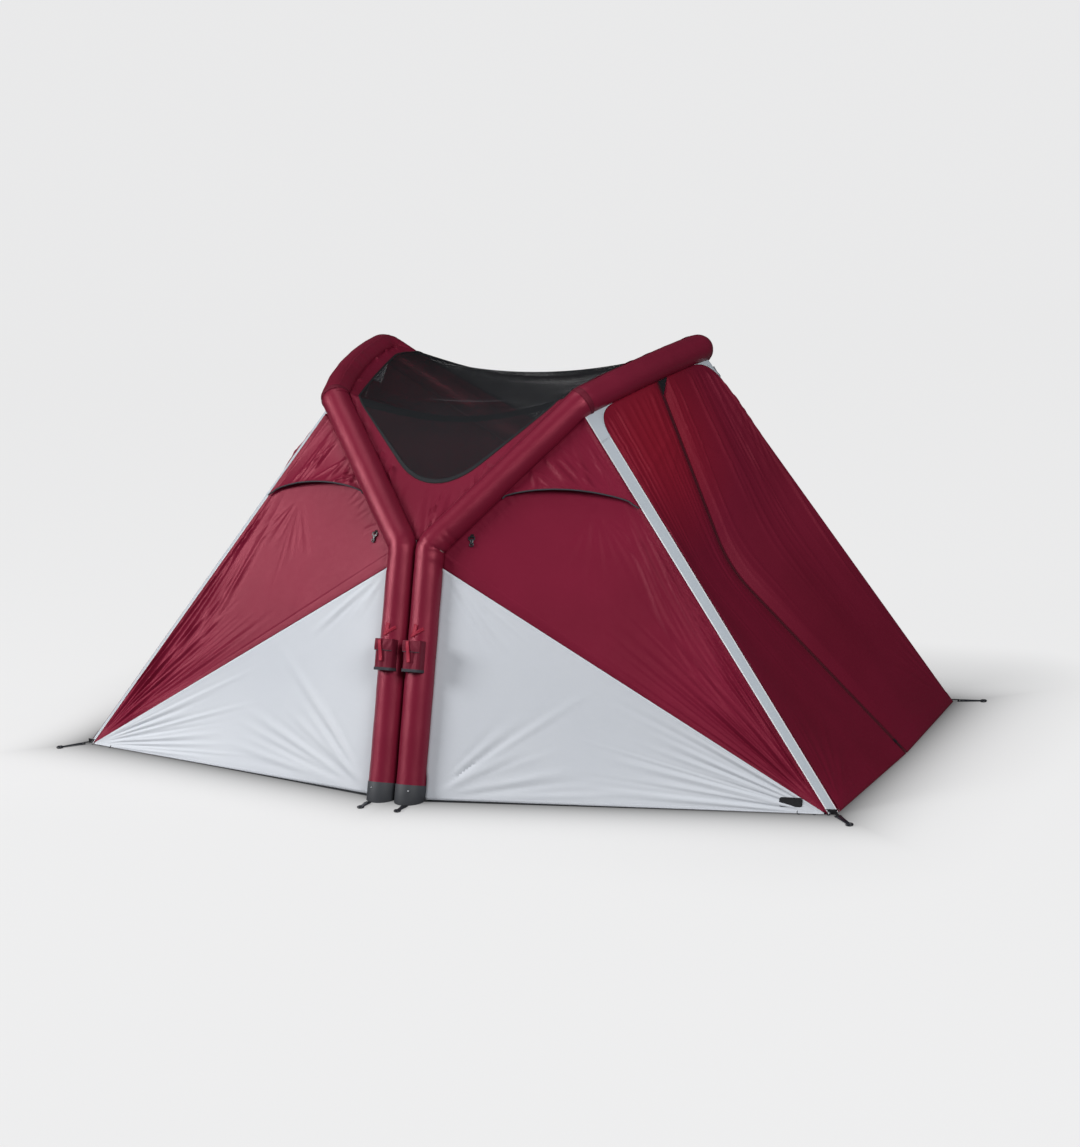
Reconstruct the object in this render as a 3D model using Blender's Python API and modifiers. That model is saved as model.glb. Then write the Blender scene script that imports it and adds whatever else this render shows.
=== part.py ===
"""A low tent held up by two inflated beams that touch at the legs and lean apart at the top.

Run it with: blender --background --python part.py
Lengths are in metres. X runs along the tent, Y from its front to its back and Z up.
The origin is on the ground, below the middle of the tent.
"""

import math

import bmesh
import bpy
from mathutils import Matrix, Vector

# The ground plan
CORNER_REACH = 1.75
CORNER_DEPTH = 1.64
FOOT_DEPTH = 2.28

# The corner points of a beam's axis
BEND_DEPTH = 1.66
BEND_HEIGHT = 0.985
FRONT_SHOULDER_WIDTH = 1.17
FRONT_SHOULDER_REACH = 0.42
FRONT_SHOULDER_HEIGHT = 1.525
BACK_SHOULDER_WIDTH = 1.58
BACK_SHOULDER_REACH = 0.4
BACK_SHOULDER_HEIGHT = 1.644
CROWN_BOW = 0.03
CROWN_RISE = 0.02
BEND_RADIUS = 0.08

# The beam: a fabric sleeve round an airtight bladder
SLEEVE_RADIUS = 0.061
SLEEVE_WALL = 0.002
SLEEVE_LIFT = 0.029
BLADDER_GAP = 0.0015
BLADDER_WALL = 0.0015
BLADDER_END_GAP = 0.012

# The clearances that the pieces keep
SEAT_GAP = 0.0004
SEAM_GAP = 0.0006
HINGE_GAP = 0.002
FLARE_GAP = 0.0018
TANGENT_STEP = 0.01
CUT_OVERRUN = 0.02
WELD = 0.00005
CURVE_WELD = 0.00002

# The cups that close the beams at the ground
CAP_WALL = 0.0018
CAP_FLOOR = 0.006
CAP_HEIGHT = 0.062
ROUND_SIDES = 24
CAP_BORE = (SLEEVE_RADIUS + SEAT_GAP) / math.cos(math.pi / ROUND_SIDES)
CAP_RADIUS = CAP_BORE + CAP_WALL
LEG_GAP = 0.0008
LEG_OFFSET = CAP_RADIUS + LEG_GAP / 2

# The cloth
WALL_SHEET = 0.003
WALL_FOLD = 0.006
WALL_SAG = 0.012
SEAM_HEIGHT = 0.9
HEM_HEIGHT = 0.006
GROUND_SHEET = 0.003
GROUND_NOTCH = 0.08

# The hoods over the vents in the walls
HOOD_SHEET = 0.002
HOOD_STANDOFF = 0.0095
HOOD_RISE = 0.026
HOOD_OFFSET = math.sqrt((SLEEVE_RADIUS + SEAT_GAP) ** 2 - HOOD_STANDOFF**2)
HOOD_START_SHARE = 0.45
HOOD_DROP_SHARE = 0.27
HOOD_DROP_POWER = 1.3

# The webbing straps down the corners
STRAP_WIDTH = 0.055
STRAP_SHEET = 0.002
FLARE_LENGTH = 0.1
FLARE_REACH = 0.125

# The end doors, two flaps that meet at a zip
ZIP_KNEE_REACH = 1.03
ZIP_KNEE_HEIGHT = 0.76
ZIP_KNEE_RADIUS = 0.6
HEM_REACH = 1.79
ZIP_GAP = 0.0076
ZIP_TAPE = 0.02
DOOR_TOP_GAP = 0.0008
DOOR_FOLD = 0.005
GUSSET_WIDTH = 0.05
GUSSET_DROP = 0.07

# The zip sliders
SLIDER_LENGTH = 0.018
SLIDER_WIDTH = 0.009
SLIDER_HEIGHT = 0.006
SLIDER_REST = 0.06
PULL_LENGTH = 0.03
PULL_SHEET = 0.002

# The roof and its net window
ROOF_SHEET = 0.003
ROOF_SAG = 0.095
ROOF_TIP = 0.012
ROOF_EASE = 0.12
ROOF_EASE_REACH = 0.3
WINDOW_BORDER = 0.042
WINDOW_TIP = 0.12
WINDOW_CORNER = 0.14
WINDOW_TIP_RADIUS = 0.35
BINDING_WIDTH = 0.012
BINDING_SHEET = 0.0015
BAND_WIDTH = 0.035
BAND_SHEET = 0.0015

# The pouches on the front legs and the valves in them
POUCH_HEIGHT = 0.5525
POUCH_WIDTH = 0.08
POUCH_LENGTH = 0.125
POUCH_DEPTH = 0.032
POUCH_SHEET = 0.002
POUCH_ROUND = 0.012
FLAP_LIP = 0.045
FLAP_GAP = 0.0006
VALVE_HOLE = 0.012
VALVE_STEM = 0.0115
VALVE_BORE = 0.006
VALVE_INSIDE = 0.008
VALVE_OUTSIDE = 0.014
VALVE_FLANGE = 0.019
VALVE_FLANGE_SHEET = 0.0025
LID_RADIUS = 0.0145
LID_WALL = 0.0025
LID_HEIGHT = 0.012
LID_GAP = 0.0006
LID_GROOVE = 0.0012
LID_GROOVES = 12

# The plastic clips that take the ground pegs and the small ones beside the shoulders
CLIP_SHEET = 0.0034
CLIP_BAR = 0.0034
CLIP_SLOT = 0.0065
CLIP_SLOT_WIDTH = 0.019
CLIP_FRAME = 0.004
CLIP_NECK = 0.008
CLIP_EYE = 0.0095
CLIP_EYE_HOLE = 0.005
CORNER_CLIP_LENGTH = 0.12
CORNER_CLIP_OUT = 0.032
CORNER_CLIP_TURN = {-1: math.radians(-48), 1: math.radians(12)}
CORNER_LOOP_BITE = 0.002
FOOT_CLIP_LENGTH = 0.068
FOOT_CLIP_OUT = 0.018
FOOT_CLIP_SIDE = 0.02
SHOULDER_CLIP_LENGTH = 0.05
SHOULDER_CLIP_DROP = 0.035
TOGGLE_LENGTH = 0.042
TOGGLE_HEIGHT = 1.015
TOGGLE_REACH = 0.0296

# The webbing loops round the clips' bars
LOOP_SHEET = 0.0015
LOOP_WIDTH = 0.014
LOOP_BORE = 0.0029
LOOP_TAIL = 0.012
LOOP_RADIUS = LOOP_BORE + LOOP_SHEET / 2
LOOP_REACH = LOOP_BORE + LOOP_SHEET
CLIP_HEIGHT = LOOP_REACH + SEAT_GAP

# Counts and shares
TUBE_RESOLUTION = 6
BLADDER_RESOLUTION = 2
BEND_STEPS = 4
CROWN_STEPS = 5
LOWER_RULINGS = 12
UPPER_RULINGS = 20
WALL_ROWS = 5
LOWER_FOLDS = 3
UPPER_FOLDS = 4
HOOD_ROWS = 3
DOOR_COLUMNS = 9
DOOR_ROWS = 8
DOOR_FOLDS = 2
FLARE_STEPS = 5
ROOF_COLUMNS = 8
ROOF_EASE_STEPS = 4
ROOF_STRAIGHT_ROWS = 3
LOOP_STEPS = 9
EYE_STEPS = 10
EYE_HOLE_STEPS = 8
LOOP_TURN = math.radians(250)
SEARCH_STEPS = 40

FRONT, BACK = -1, 1
RIGHT, LEFT = 1, -1
END_NAMES = {FRONT: "front", BACK: "back"}
SIDE_NAMES = {RIGHT: "right", LEFT: "left"}
UP = Vector((0, 0, 1))

BURGUNDY = (0.135, 0.014, 0.03)
DEEP_BURGUNDY = (0.1, 0.01, 0.022)
PALE_GREY = (0.58, 0.62, 0.67)
NET_GREY = (0.03, 0.032, 0.036)
TAPE_GREY = (0.11, 0.115, 0.13)
CAP_GREY = (0.035, 0.037, 0.042)
PLASTIC_BLACK = (0.012, 0.012, 0.014)
BLADDER_CLEAR = (0.55, 0.55, 0.52)
VALVE_WHITE = (0.7, 0.7, 0.7)


def clear_scene():
    for obj in list(bpy.data.objects):
        bpy.data.objects.remove(obj)


def new_collection(name):
    collection = bpy.data.collections.new(name)
    bpy.context.scene.collection.children.link(collection)
    return collection


def make_material(name, color, roughness):
    material = bpy.data.materials.new(name)
    material.use_nodes = True
    shader = material.node_tree.nodes["Principled BSDF"]
    shader.inputs["Base Color"].default_value = (*color, 1)
    shader.inputs["Roughness"].default_value = roughness
    return material


clear_scene()
PARTS = new_collection("Inflatable tent")
CUTTERS = new_collection("Cutters")
SHELL = make_material("Burgundy shell cloth", BURGUNDY, 0.55)
SLEEVE = make_material("Burgundy sleeve cloth", BURGUNDY, 0.45)
SKIRT = make_material("Pale grey cloth", PALE_GREY, 0.6)
STRAP = make_material("Pale grey webbing", PALE_GREY, 0.7)
NET = make_material("Dark net", NET_GREY, 0.8)
TAPE = make_material("Grey tape", TAPE_GREY, 0.7)
FLOOR = make_material("Floor cloth", TAPE_GREY, 0.6)
CAP = make_material("Charcoal cap", CAP_GREY, 0.7)
PLASTIC = make_material("Black plastic", PLASTIC_BLACK, 0.35)
BLADDER = make_material("Clear bladder film", BLADDER_CLEAR, 0.3)
VALVE = make_material("White valve plastic", VALVE_WHITE, 0.4)
POUCH = make_material("Burgundy pouch cloth", DEEP_BURGUNDY, 0.6)


# Small helpers for meshes

def add_object(name, mesh, material, side=RIGHT):
    """A part from a mesh that was built on the right-hand side."""
    if side == LEFT:
        mirrored = bmesh.new()
        mirrored.from_mesh(mesh)
        bmesh.ops.scale(mirrored, vec=(-1, 1, 1), verts=mirrored.verts)
        bmesh.ops.reverse_faces(mirrored, faces=mirrored.faces)
        mirrored.to_mesh(mesh)
        mirrored.free()
    mesh.materials.clear()
    mesh.materials.append(material)
    obj = bpy.data.objects.new(name, mesh)
    PARTS.objects.link(obj)
    return obj


def mesh_from(build):
    """A mesh from a bmesh, with its normals made to agree."""
    bmesh.ops.recalc_face_normals(build, faces=build.faces)
    mesh = bpy.data.meshes.new("Mesh")
    build.to_mesh(mesh)
    build.free()
    return mesh


def grid_mesh(rows):
    """An open sheet through rows of points, where a row may meet in one point."""
    build = bmesh.new()
    verts = [[build.verts.new(point) for point in row] for row in rows]
    for first, second in zip(verts, verts[1:]):
        for a, b, c, d in zip(first, first[1:], second[1:], second):
            build.faces.new((a, b, c, d))
    bmesh.ops.remove_doubles(build, verts=build.verts, dist=WELD)
    return mesh_from(build)


def baked(obj):
    """The object's evaluated mesh, in world space, and the object removed."""
    graph = bpy.context.evaluated_depsgraph_get()
    mesh = bpy.data.meshes.new_from_object(obj.evaluated_get(graph))
    mesh.transform(obj.matrix_world)
    bpy.data.objects.remove(obj)
    return mesh


def thick_mesh(mesh, thickness, offset=0):
    """The sheet made a closed solid of this thickness."""
    obj = bpy.data.objects.new("Sheet", mesh)
    CUTTERS.objects.link(obj)
    shell = obj.modifiers.new("Thickness", "SOLIDIFY")
    shell.thickness = thickness
    shell.offset = offset
    bpy.context.view_layer.update()
    return baked(obj)


def boolean(mesh, other, operation):
    """One mesh cut by, joined to or kept inside another."""
    body = bpy.data.objects.new("Body", mesh)
    tool = bpy.data.objects.new("Tool", other)
    for obj in (body, tool):
        CUTTERS.objects.link(obj)
    cut = body.modifiers.new(operation.title(), "BOOLEAN")
    cut.operation = operation
    cut.object = tool
    bpy.context.view_layer.update()
    result = baked(body)
    bpy.data.objects.remove(tool)
    return result


def tube_mesh(points, radius, resolution, capped):
    """A round tube along the points."""
    curve = bpy.data.curves.new("Tube", "CURVE")
    curve.dimensions = "3D"
    curve.bevel_depth = radius
    curve.bevel_resolution = resolution
    curve.use_fill_caps = capped
    spline = curve.splines.new("POLY")
    spline.points.add(len(points) - 1)
    for knot, point in zip(spline.points, points):
        knot.co = (*point, 1)
    return curve_mesh(curve)


def curve_mesh(curve, place=None):
    """A curve made a mesh, with its caps welded to its sides."""
    obj = bpy.data.objects.new("Curve", curve)
    CUTTERS.objects.link(obj)
    if place:
        obj.matrix_world = place
    bpy.context.view_layer.update()
    build = bmesh.new()
    build.from_mesh(baked(obj))
    bmesh.ops.remove_doubles(build, verts=build.verts, dist=CURVE_WELD)
    return mesh_from(build)


def plate_mesh(outlines, thickness, place=None):
    """A flat plate from outlines in its own X and Y, where inner outlines are holes."""
    curve = bpy.data.curves.new("Plate", "CURVE")
    curve.dimensions = "2D"
    curve.fill_mode = "BOTH"
    curve.extrude = thickness / 2
    for outline in outlines:
        spline = curve.splines.new("POLY")
        spline.points.add(len(outline) - 1)
        for knot, (x, y) in zip(spline.points, outline):
            knot.co = (x, y, 0, 1)
        spline.use_cyclic_u = True
    return curve_mesh(curve, place)


def rectangle(low, high, rounding=0):
    """The outline of a rectangle between two corners, rounded where a radius is given."""
    corners = [Vector((x, y, 0)) for x, y in (low, (high[0], low[1]), high, (low[0], high[1]))]
    points = []
    for i, corner in enumerate(corners):
        if rounding:
            points += fillet(corners[i - 1], corner, corners[(i + 1) % len(corners)], rounding)
        else:
            points.append(corner)
    return [(point.x, point.y) for point in points]


def post_mesh(radius, start, end, sides=ROUND_SIDES):
    """A solid cylinder from one point to another."""
    axis = end - start
    build = bmesh.new()
    bmesh.ops.create_cone(
        build, cap_ends=True, segments=sides, radius1=radius, radius2=radius, depth=axis.length)
    turn = UP.rotation_difference(axis).to_matrix().to_4x4()
    bmesh.ops.transform(build, matrix=Matrix.Translation((start + end) / 2) @ turn, verts=build.verts)
    return mesh_from(build)


def cut_flat(mesh, height):
    """The part of a solid above this height, closed flat below."""
    build = bmesh.new()
    build.from_mesh(mesh)
    geometry = build.verts[:] + build.edges[:] + build.faces[:]
    cut = bmesh.ops.bisect_plane(
        build, geom=geometry, plane_co=UP * height, plane_no=UP, clear_inner=True)
    rim = [item for item in cut["geom_cut"] if isinstance(item, bmesh.types.BMEdge)]
    bmesh.ops.contextual_create(build, geom=rim)
    return mesh_from(build)


def turned_mesh(profile, place, steps=ROUND_SIDES):
    """A ring turned round its own Z from a closed profile of radius and height."""
    rows = []
    for step in range(steps):
        angle = math.tau * step / steps
        rows.append([Vector((r * math.cos(angle), r * math.sin(angle), z)) for r, z in profile])
    build = bmesh.new()
    verts = [[build.verts.new(point) for point in row] for row in rows]
    for i, row in enumerate(verts):
        after = verts[(i + 1) % steps]
        for j in range(len(row)):
            k = (j + 1) % len(row)
            build.faces.new((row[j], row[k], after[k], after[j]))
    bmesh.ops.transform(build, matrix=place, verts=build.verts)
    return mesh_from(build)


def frame_matrix(origin, x_axis, y_axis):
    """A placing matrix from an origin and two axes at right angles."""
    rotation = Matrix((x_axis, y_axis, x_axis.cross(y_axis))).transposed()
    return Matrix.Translation(origin) @ rotation.to_4x4()


def solve(test, low, high):
    """The value between low and high where the test turns true."""
    for _ in range(SEARCH_STEPS):
        middle = (low + high) / 2
        if test(middle):
            high = middle
        else:
            low = middle
    return high


# Lines in space

def fillet(before, corner, after, radius, steps=BEND_STEPS):
    """Points of an arc of this radius that rounds the corner."""
    back = (before - corner).normalized()
    ahead = (after - corner).normalized()
    half = back.angle(ahead) / 2
    run = radius / math.tan(half)
    centre = corner + (back + ahead).normalized() * (radius / math.sin(half))
    spoke = corner + back * run - centre
    last = corner + ahead * run - centre
    axis = spoke.cross(last).normalized()
    turn = spoke.angle(last)
    return [centre + Matrix.Rotation(turn * i / steps, 3, axis) @ spoke for i in range(steps + 1)]


class Path:
    """A line through points, read by the distance along it."""

    def __init__(self, points):
        self.points = points
        self.marks = [0]
        for first, second in zip(points, points[1:]):
            self.marks.append(self.marks[-1] + (second - first).length)
        self.length = self.marks[-1]

    def at(self, distance):
        distance = min(max(distance, 0), self.length)
        for i in range(len(self.points) - 1):
            if distance <= self.marks[i + 1]:
                break
        share = (distance - self.marks[i]) / (self.marks[i + 1] - self.marks[i])
        return self.points[i].lerp(self.points[i + 1], share)

    def direction(self, distance):
        return (self.at(distance + TANGENT_STEP) - self.at(distance - TANGENT_STEP)).normalized()

    def away(self, point):
        """The least distance from a point to the line."""
        least = []
        for first, second in zip(self.points, self.points[1:]):
            run = second - first
            share = min(max((point - first).dot(run) / run.length_squared, 0), 1)
            least.append((point - first - run * share).length)
        return min(least)

    def beside(self, distance, target, offset):
        """A point off the line at this distance, square to it and towards the target."""
        point = self.at(distance)
        run = self.direction(distance)
        out = target - point
        out -= run * out.dot(run)
        return point + out.normalized() * offset


def beam_corners(end):
    """The corner points of the right-hand beam's axis, from this end's foot to the other's."""
    shoulders = {
        FRONT: Vector((FRONT_SHOULDER_WIDTH / 2, -FRONT_SHOULDER_REACH, FRONT_SHOULDER_HEIGHT)),
        BACK: Vector((BACK_SHOULDER_WIDTH / 2, BACK_SHOULDER_REACH, BACK_SHOULDER_HEIGHT)),
    }
    feet = {e: Vector((LEG_OFFSET, e * FOOT_DEPTH / 2, 0)) for e in (FRONT, BACK)}
    bends = {e: Vector((LEG_OFFSET, e * BEND_DEPTH / 2, BEND_HEIGHT)) for e in (FRONT, BACK)}
    bow = Vector((CROWN_BOW, 0, CROWN_RISE))
    crown = []
    for i in range(1, CROWN_STEPS):
        share = i / CROWN_STEPS
        level = shoulders[end].lerp(shoulders[-end], share)
        crown.append(level + bow * (4 * share * (1 - share)))
    return [feet[end], bends[end], shoulders[end]], crown, [shoulders[-end], bends[-end], feet[-end]]


class Beam(Path):
    """The right-hand beam's rounded axis, read from this end's foot."""

    def __init__(self, end):
        near, crown, far = beam_corners(end)
        corners = near + crown + far
        rounded = {1, 2, len(corners) - 3, len(corners) - 2}
        points = []
        middles = []
        for i, corner in enumerate(corners):
            if i in rounded:
                arc = fillet(corners[i - 1], corner, corners[i + 1], BEND_RADIUS)
                middles.append(len(points) + len(arc) // 2)
                points.extend(arc)
            else:
                points.append(corner)
        super().__init__(points)
        self.bend, self.shoulder, self.far_shoulder, self.far_bend = (self.marks[i] for i in middles)
        self.middle = solve(lambda d: -end * self.at(d).y > 0, self.shoulder, self.far_shoulder)


BEAMS = {end: Beam(end) for end in (FRONT, BACK)}
LEG_RUN = Vector((0, (FOOT_DEPTH - BEND_DEPTH) / 2, BEND_HEIGHT)).normalized()
LEG_FACE = Vector((0, -LEG_RUN.z, LEG_RUN.y))


class StrapFrame:
    """Where the right-hand corner strap of one end lies."""

    def __init__(self, end):
        beam = BEAMS[end]
        self.end = end
        self.beam = beam
        self.top = beam.at(beam.shoulder)
        self.bottom = Vector((CORNER_REACH, end * CORNER_DEPTH / 2, 0))
        self.run = (self.bottom - self.top).normalized()
        other = Vector((CORNER_REACH, -end * CORNER_DEPTH / 2, 0))
        wall = (beam.at(beam.bend) - self.bottom).cross(self.top - self.bottom).normalized()
        door = (other - self.bottom).cross(self.top - self.bottom).normalized()
        wall *= math.copysign(1, wall.y * end)
        door *= math.copysign(1, door.x)
        normal = wall + door
        self.normal = (normal - self.run * normal.dot(self.run)).normalized()
        across = self.run.cross(self.normal)
        self.to_wall = across * math.copysign(1, across.y * end)

    def at_height(self, across, height):
        """The point at this height on the line that lies this far towards the wall."""
        start = self.top + self.to_wall * across
        return start + self.run * ((height - start.z) / self.run.z)

    def below_beam(self, across, clearance):
        """The first point of that line that clears the beam."""
        start = self.top + self.to_wall * across
        reach = solve(lambda d: self.beam.away(start + self.run * d) >= clearance, 0, 3 * clearance)
        return start + self.run * reach


STRAPS = {end: StrapFrame(end) for end in (FRONT, BACK)}


# The beams

def sleeve_points():
    """The beam's axis with its ends lifted off the cups' floors."""
    points = list(BEAMS[FRONT].points)
    points[0] = points[0] + LEG_RUN * (SLEEVE_LIFT / LEG_RUN.z)
    rear_run = Vector((0, -LEG_RUN.y, LEG_RUN.z))
    points[-1] = points[-1] + rear_run * (SLEEVE_LIFT / LEG_RUN.z)
    return points


def valve_centre():
    """Where the valve's axis crosses the front leg's axis."""
    return BEAMS[FRONT].at(POUCH_HEIGHT / LEG_RUN.z)


def valve_hole():
    centre = valve_centre()
    return post_mesh(VALVE_HOLE, centre, centre + LEG_FACE * (SLEEVE_RADIUS + CUT_OVERRUN))


def make_sleeve(side):
    tube = tube_mesh(sleeve_points(), SLEEVE_RADIUS, TUBE_RESOLUTION, capped=False)
    wall = thick_mesh(tube, SLEEVE_WALL, offset=-1)
    add_object(f"beam_sleeve_{SIDE_NAMES[side]}", boolean(wall, valve_hole(), "DIFFERENCE"), SLEEVE, side)


def make_bladder(side):
    points = sleeve_points()
    points[0] = points[0] + LEG_RUN * BLADDER_END_GAP
    points[-1] = points[-1] + Vector((0, -LEG_RUN.y, LEG_RUN.z)) * BLADDER_END_GAP
    radius = SLEEVE_RADIUS - SLEEVE_WALL - BLADDER_GAP
    tube = tube_mesh(points, radius, BLADDER_RESOLUTION, capped=True)
    wall = thick_mesh(tube, BLADDER_WALL, offset=-1)
    add_object(f"bladder_{SIDE_NAMES[side]}", boolean(wall, valve_hole(), "DIFFERENCE"), BLADDER, side)


def make_cap(end, side):
    """A cup round the sleeve's end, flat on the ground, with its webbing loop."""
    foot = BEAMS[end].at(0)
    run = Vector((0, -end * LEG_RUN.y, LEG_RUN.z))
    below = foot - run * CAP_HEIGHT
    top = foot + run * (CAP_HEIGHT / LEG_RUN.z)
    cup = cut_flat(post_mesh(CAP_RADIUS, below, top), 0)
    bore = cut_flat(post_mesh(CAP_BORE, below, top + run * CUT_OVERRUN), CAP_FLOOR)
    cup = boolean(cup, bore, "DIFFERENCE")
    cup = boolean(cup, loop_mesh(foot_clip_frame(end), -1, FOOT_CLIP_OUT + CAP_FLOOR), "UNION")
    add_object(f"foot_cap_{END_NAMES[end]}_{SIDE_NAMES[side]}", cup, CAP, side)


# Clips and the webbing loops that hold them

def loop_mesh(place, flip, tail=LOOP_TAIL, drop=LOOP_RADIUS):
    """A strip of webbing that comes in from behind and curls round a clip's bar."""
    tail_point = (-tail, flip * drop)
    profile = [tail_point]
    for step in range(LOOP_STEPS + 1):
        angle = flip * (math.pi / 2 - LOOP_TURN * step / LOOP_STEPS)
        profile.append((LOOP_RADIUS * math.cos(angle), LOOP_RADIUS * math.sin(angle)))
    rows = [[place @ Vector((x, y, z)) for x, z in profile] for y in (-LOOP_WIDTH / 2, LOOP_WIDTH / 2)]
    return thick_mesh(grid_mesh(rows), LOOP_SHEET)


def arc_points(centre, radius, start, end, steps):
    angles = [start + (end - start) * i / steps for i in range(steps + 1)]
    return [(centre + radius * math.cos(a), radius * math.sin(a)) for a in angles]


def clip_mesh(place, length):
    """A flat clip: a slotted frame behind, a neck, and a round eye in front."""
    half = CLIP_SLOT_WIDTH / 2 + CLIP_FRAME
    bar = CLIP_BAR / 2
    frame_end = bar + CLIP_SLOT + CLIP_FRAME
    eye = length - CLIP_EYE
    spread = math.pi - math.asin(CLIP_NECK / 2 / CLIP_EYE)
    outline = [(-bar, -half), (frame_end, -half), (frame_end + CLIP_FRAME, -CLIP_NECK / 2)]
    outline += arc_points(eye, CLIP_EYE, -spread, spread, EYE_STEPS)
    outline += [(frame_end + CLIP_FRAME, CLIP_NECK / 2), (frame_end, half), (-bar, half)]
    slot_half = CLIP_SLOT_WIDTH / 2
    slot = [(bar, -slot_half), (bar + CLIP_SLOT, -slot_half), (bar + CLIP_SLOT, slot_half), (bar, slot_half)]
    hole = arc_points(eye, CLIP_EYE_HOLE, 0, math.tau, EYE_HOLE_STEPS)[:-1]
    return plate_mesh([outline, slot, hole], CLIP_SHEET, place)


def corner_clip_frame(end):
    """The bar of a corner's clip, beyond the strap's lower end."""
    out = Matrix.Rotation(CORNER_CLIP_TURN[end], 3, "Z") @ Vector((1, 0, 0))
    origin = STRAPS[end].bottom + out * CORNER_CLIP_OUT
    origin.z = CLIP_HEIGHT
    return frame_matrix(origin, out, UP.cross(out))


def foot_clip_frame(end):
    """The bar of a foot's clip, in front of the cup on its outer side."""
    out = Vector((0, end, 0))
    foot = BEAMS[end].at(0)
    reach = math.sqrt(CAP_RADIUS**2 - FOOT_CLIP_SIDE**2) / LEG_RUN.z
    origin = foot + Vector((FOOT_CLIP_SIDE, end * (reach + FOOT_CLIP_OUT), CLIP_HEIGHT))
    return frame_matrix(origin, out, UP.cross(out))


def shoulder_clip_frame(end):
    """The bar of the small clip at the top of a back strap."""
    strap = STRAPS[end]
    lift = STRAP_SHEET / 2 + SEAT_GAP + LOOP_REACH
    origin = strap.below_beam(0, SLEEVE_RADIUS + SHOULDER_CLIP_DROP) + strap.normal * lift
    return frame_matrix(origin, strap.run, strap.normal.cross(strap.run))


def make_clip(name, place, length, side):
    add_object(name, clip_mesh(place, length), PLASTIC, side)


# The walls in front and behind

class Wall:
    """The right-hand wall of one end: a cone of straight lines from the corner to the beam."""

    def __init__(self, end):
        self.end = end
        self.beam = BEAMS[end]
        self.strap = STRAPS[end]
        edge = STRAP_WIDTH / 2 + HINGE_GAP
        self.corner = self.strap.at_height(edge, HEM_HEIGHT)
        self.offset = CAP_RADIUS + SEAT_GAP
        self.start = solve(lambda d: self.foot(d).z >= HEM_HEIGHT, 0, CAP_HEIGHT)
        self.seam = SEAM_HEIGHT / LEG_RUN.z
        self.top = self.strap.below_beam(edge, self.offset)
        self.stop = self.beam.shoulder - edge - BEND_RADIUS / 2

    def foot(self, distance):
        return self.beam.beside(distance, self.corner, self.offset)

    def edge(self, share, low, high, offset):
        """A point of the edge along the beam, and at the last share the strap's top."""
        return self.beam.beside(low + (high - low) * share, self.corner, offset)

    def ruling(self, panel, share, offset=None):
        """Where the line at this share of a panel ends."""
        offset = offset or self.offset
        if panel == "lower":
            return self.edge(share, self.start, self.seam, offset)
        last = 1 - 1 / UPPER_RULINGS
        if share <= last:
            return self.edge(share / last, self.seam, self.stop, offset)
        near = self.edge(1, self.seam, self.stop, offset)
        return near.lerp(self.top, (share - last) / (1 - last))

    def normal(self, panel, share):
        step = 1 / (2 * UPPER_RULINGS)
        first = self.ruling(panel, max(share - step, 0))
        second = self.ruling(panel, min(share + step, 1))
        out = (first - self.corner).cross(second - self.corner).normalized()
        return out * math.copysign(1, out.y * self.end)

    def point(self, panel, share, along, folds=0, offset=None):
        """A point of the cloth, sagging inwards and with tension folds from the corner."""
        base = self.corner.lerp(self.ruling(panel, share, offset), along)
        swell = math.sin(math.pi * share) * math.sin(math.pi * along)
        wave = math.sin(math.tau * folds * share) * math.sin(math.pi * along)
        return base + self.normal(panel, share) * (WALL_FOLD * wave - WALL_SAG * swell)


WALLS = {end: Wall(end) for end in (FRONT, BACK)}


def make_wall(end, side, panel):
    """The pale lower panel, or the burgundy one above it, kept apart along their seam."""
    wall = WALLS[end]
    rulings, folds = (LOWER_RULINGS, LOWER_FOLDS) if panel == "lower" else (UPPER_RULINGS, UPPER_FOLDS)
    seam_end = wall.ruling("upper", 0)
    seam_side = (seam_end - wall.corner).cross(wall.normal("upper", 0)).normalized()
    seam_side *= math.copysign(SEAM_GAP / 2, seam_side.z * (-1 if panel == "lower" else 1))
    rows = []
    for i in range(rulings + 1):
        share = i / rulings
        rows.append([wall.point(panel, share, k / WALL_ROWS, folds) + seam_side for k in range(WALL_ROWS + 1)])
    mesh = thick_mesh(grid_mesh(rows), WALL_SHEET)
    if panel == "upper" and end == FRONT:
        mesh = boolean(mesh, loop_mesh(toggle_frame(), -1, drop=toggle_lift()), "UNION")
    name = f"wall_{panel}_{END_NAMES[end]}_{SIDE_NAMES[side]}"
    add_object(name, mesh, SKIRT if panel == "lower" else SHELL, side)


def toggle_lift():
    return WALL_SHEET / 2 + SEAT_GAP + LOOP_REACH


def toggle_frame():
    """The bar of the small toggle clip on the front wall, beside the leaning beam."""
    wall = WALLS[FRONT]
    for i in range(UPPER_RULINGS):
        share = i / UPPER_RULINGS
        end = wall.ruling("upper", share)
        along = 1 - TOGGLE_REACH / (end - wall.corner).length
        point = wall.point("upper", share, along, UPPER_FOLDS)
        if point.z > TOGGLE_HEIGHT:
            break
    normal = wall.normal("upper", share)
    down = -UP + normal * UP.dot(normal)
    down.normalize()
    return frame_matrix(point + normal * toggle_lift(), down, normal.cross(down))


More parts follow.
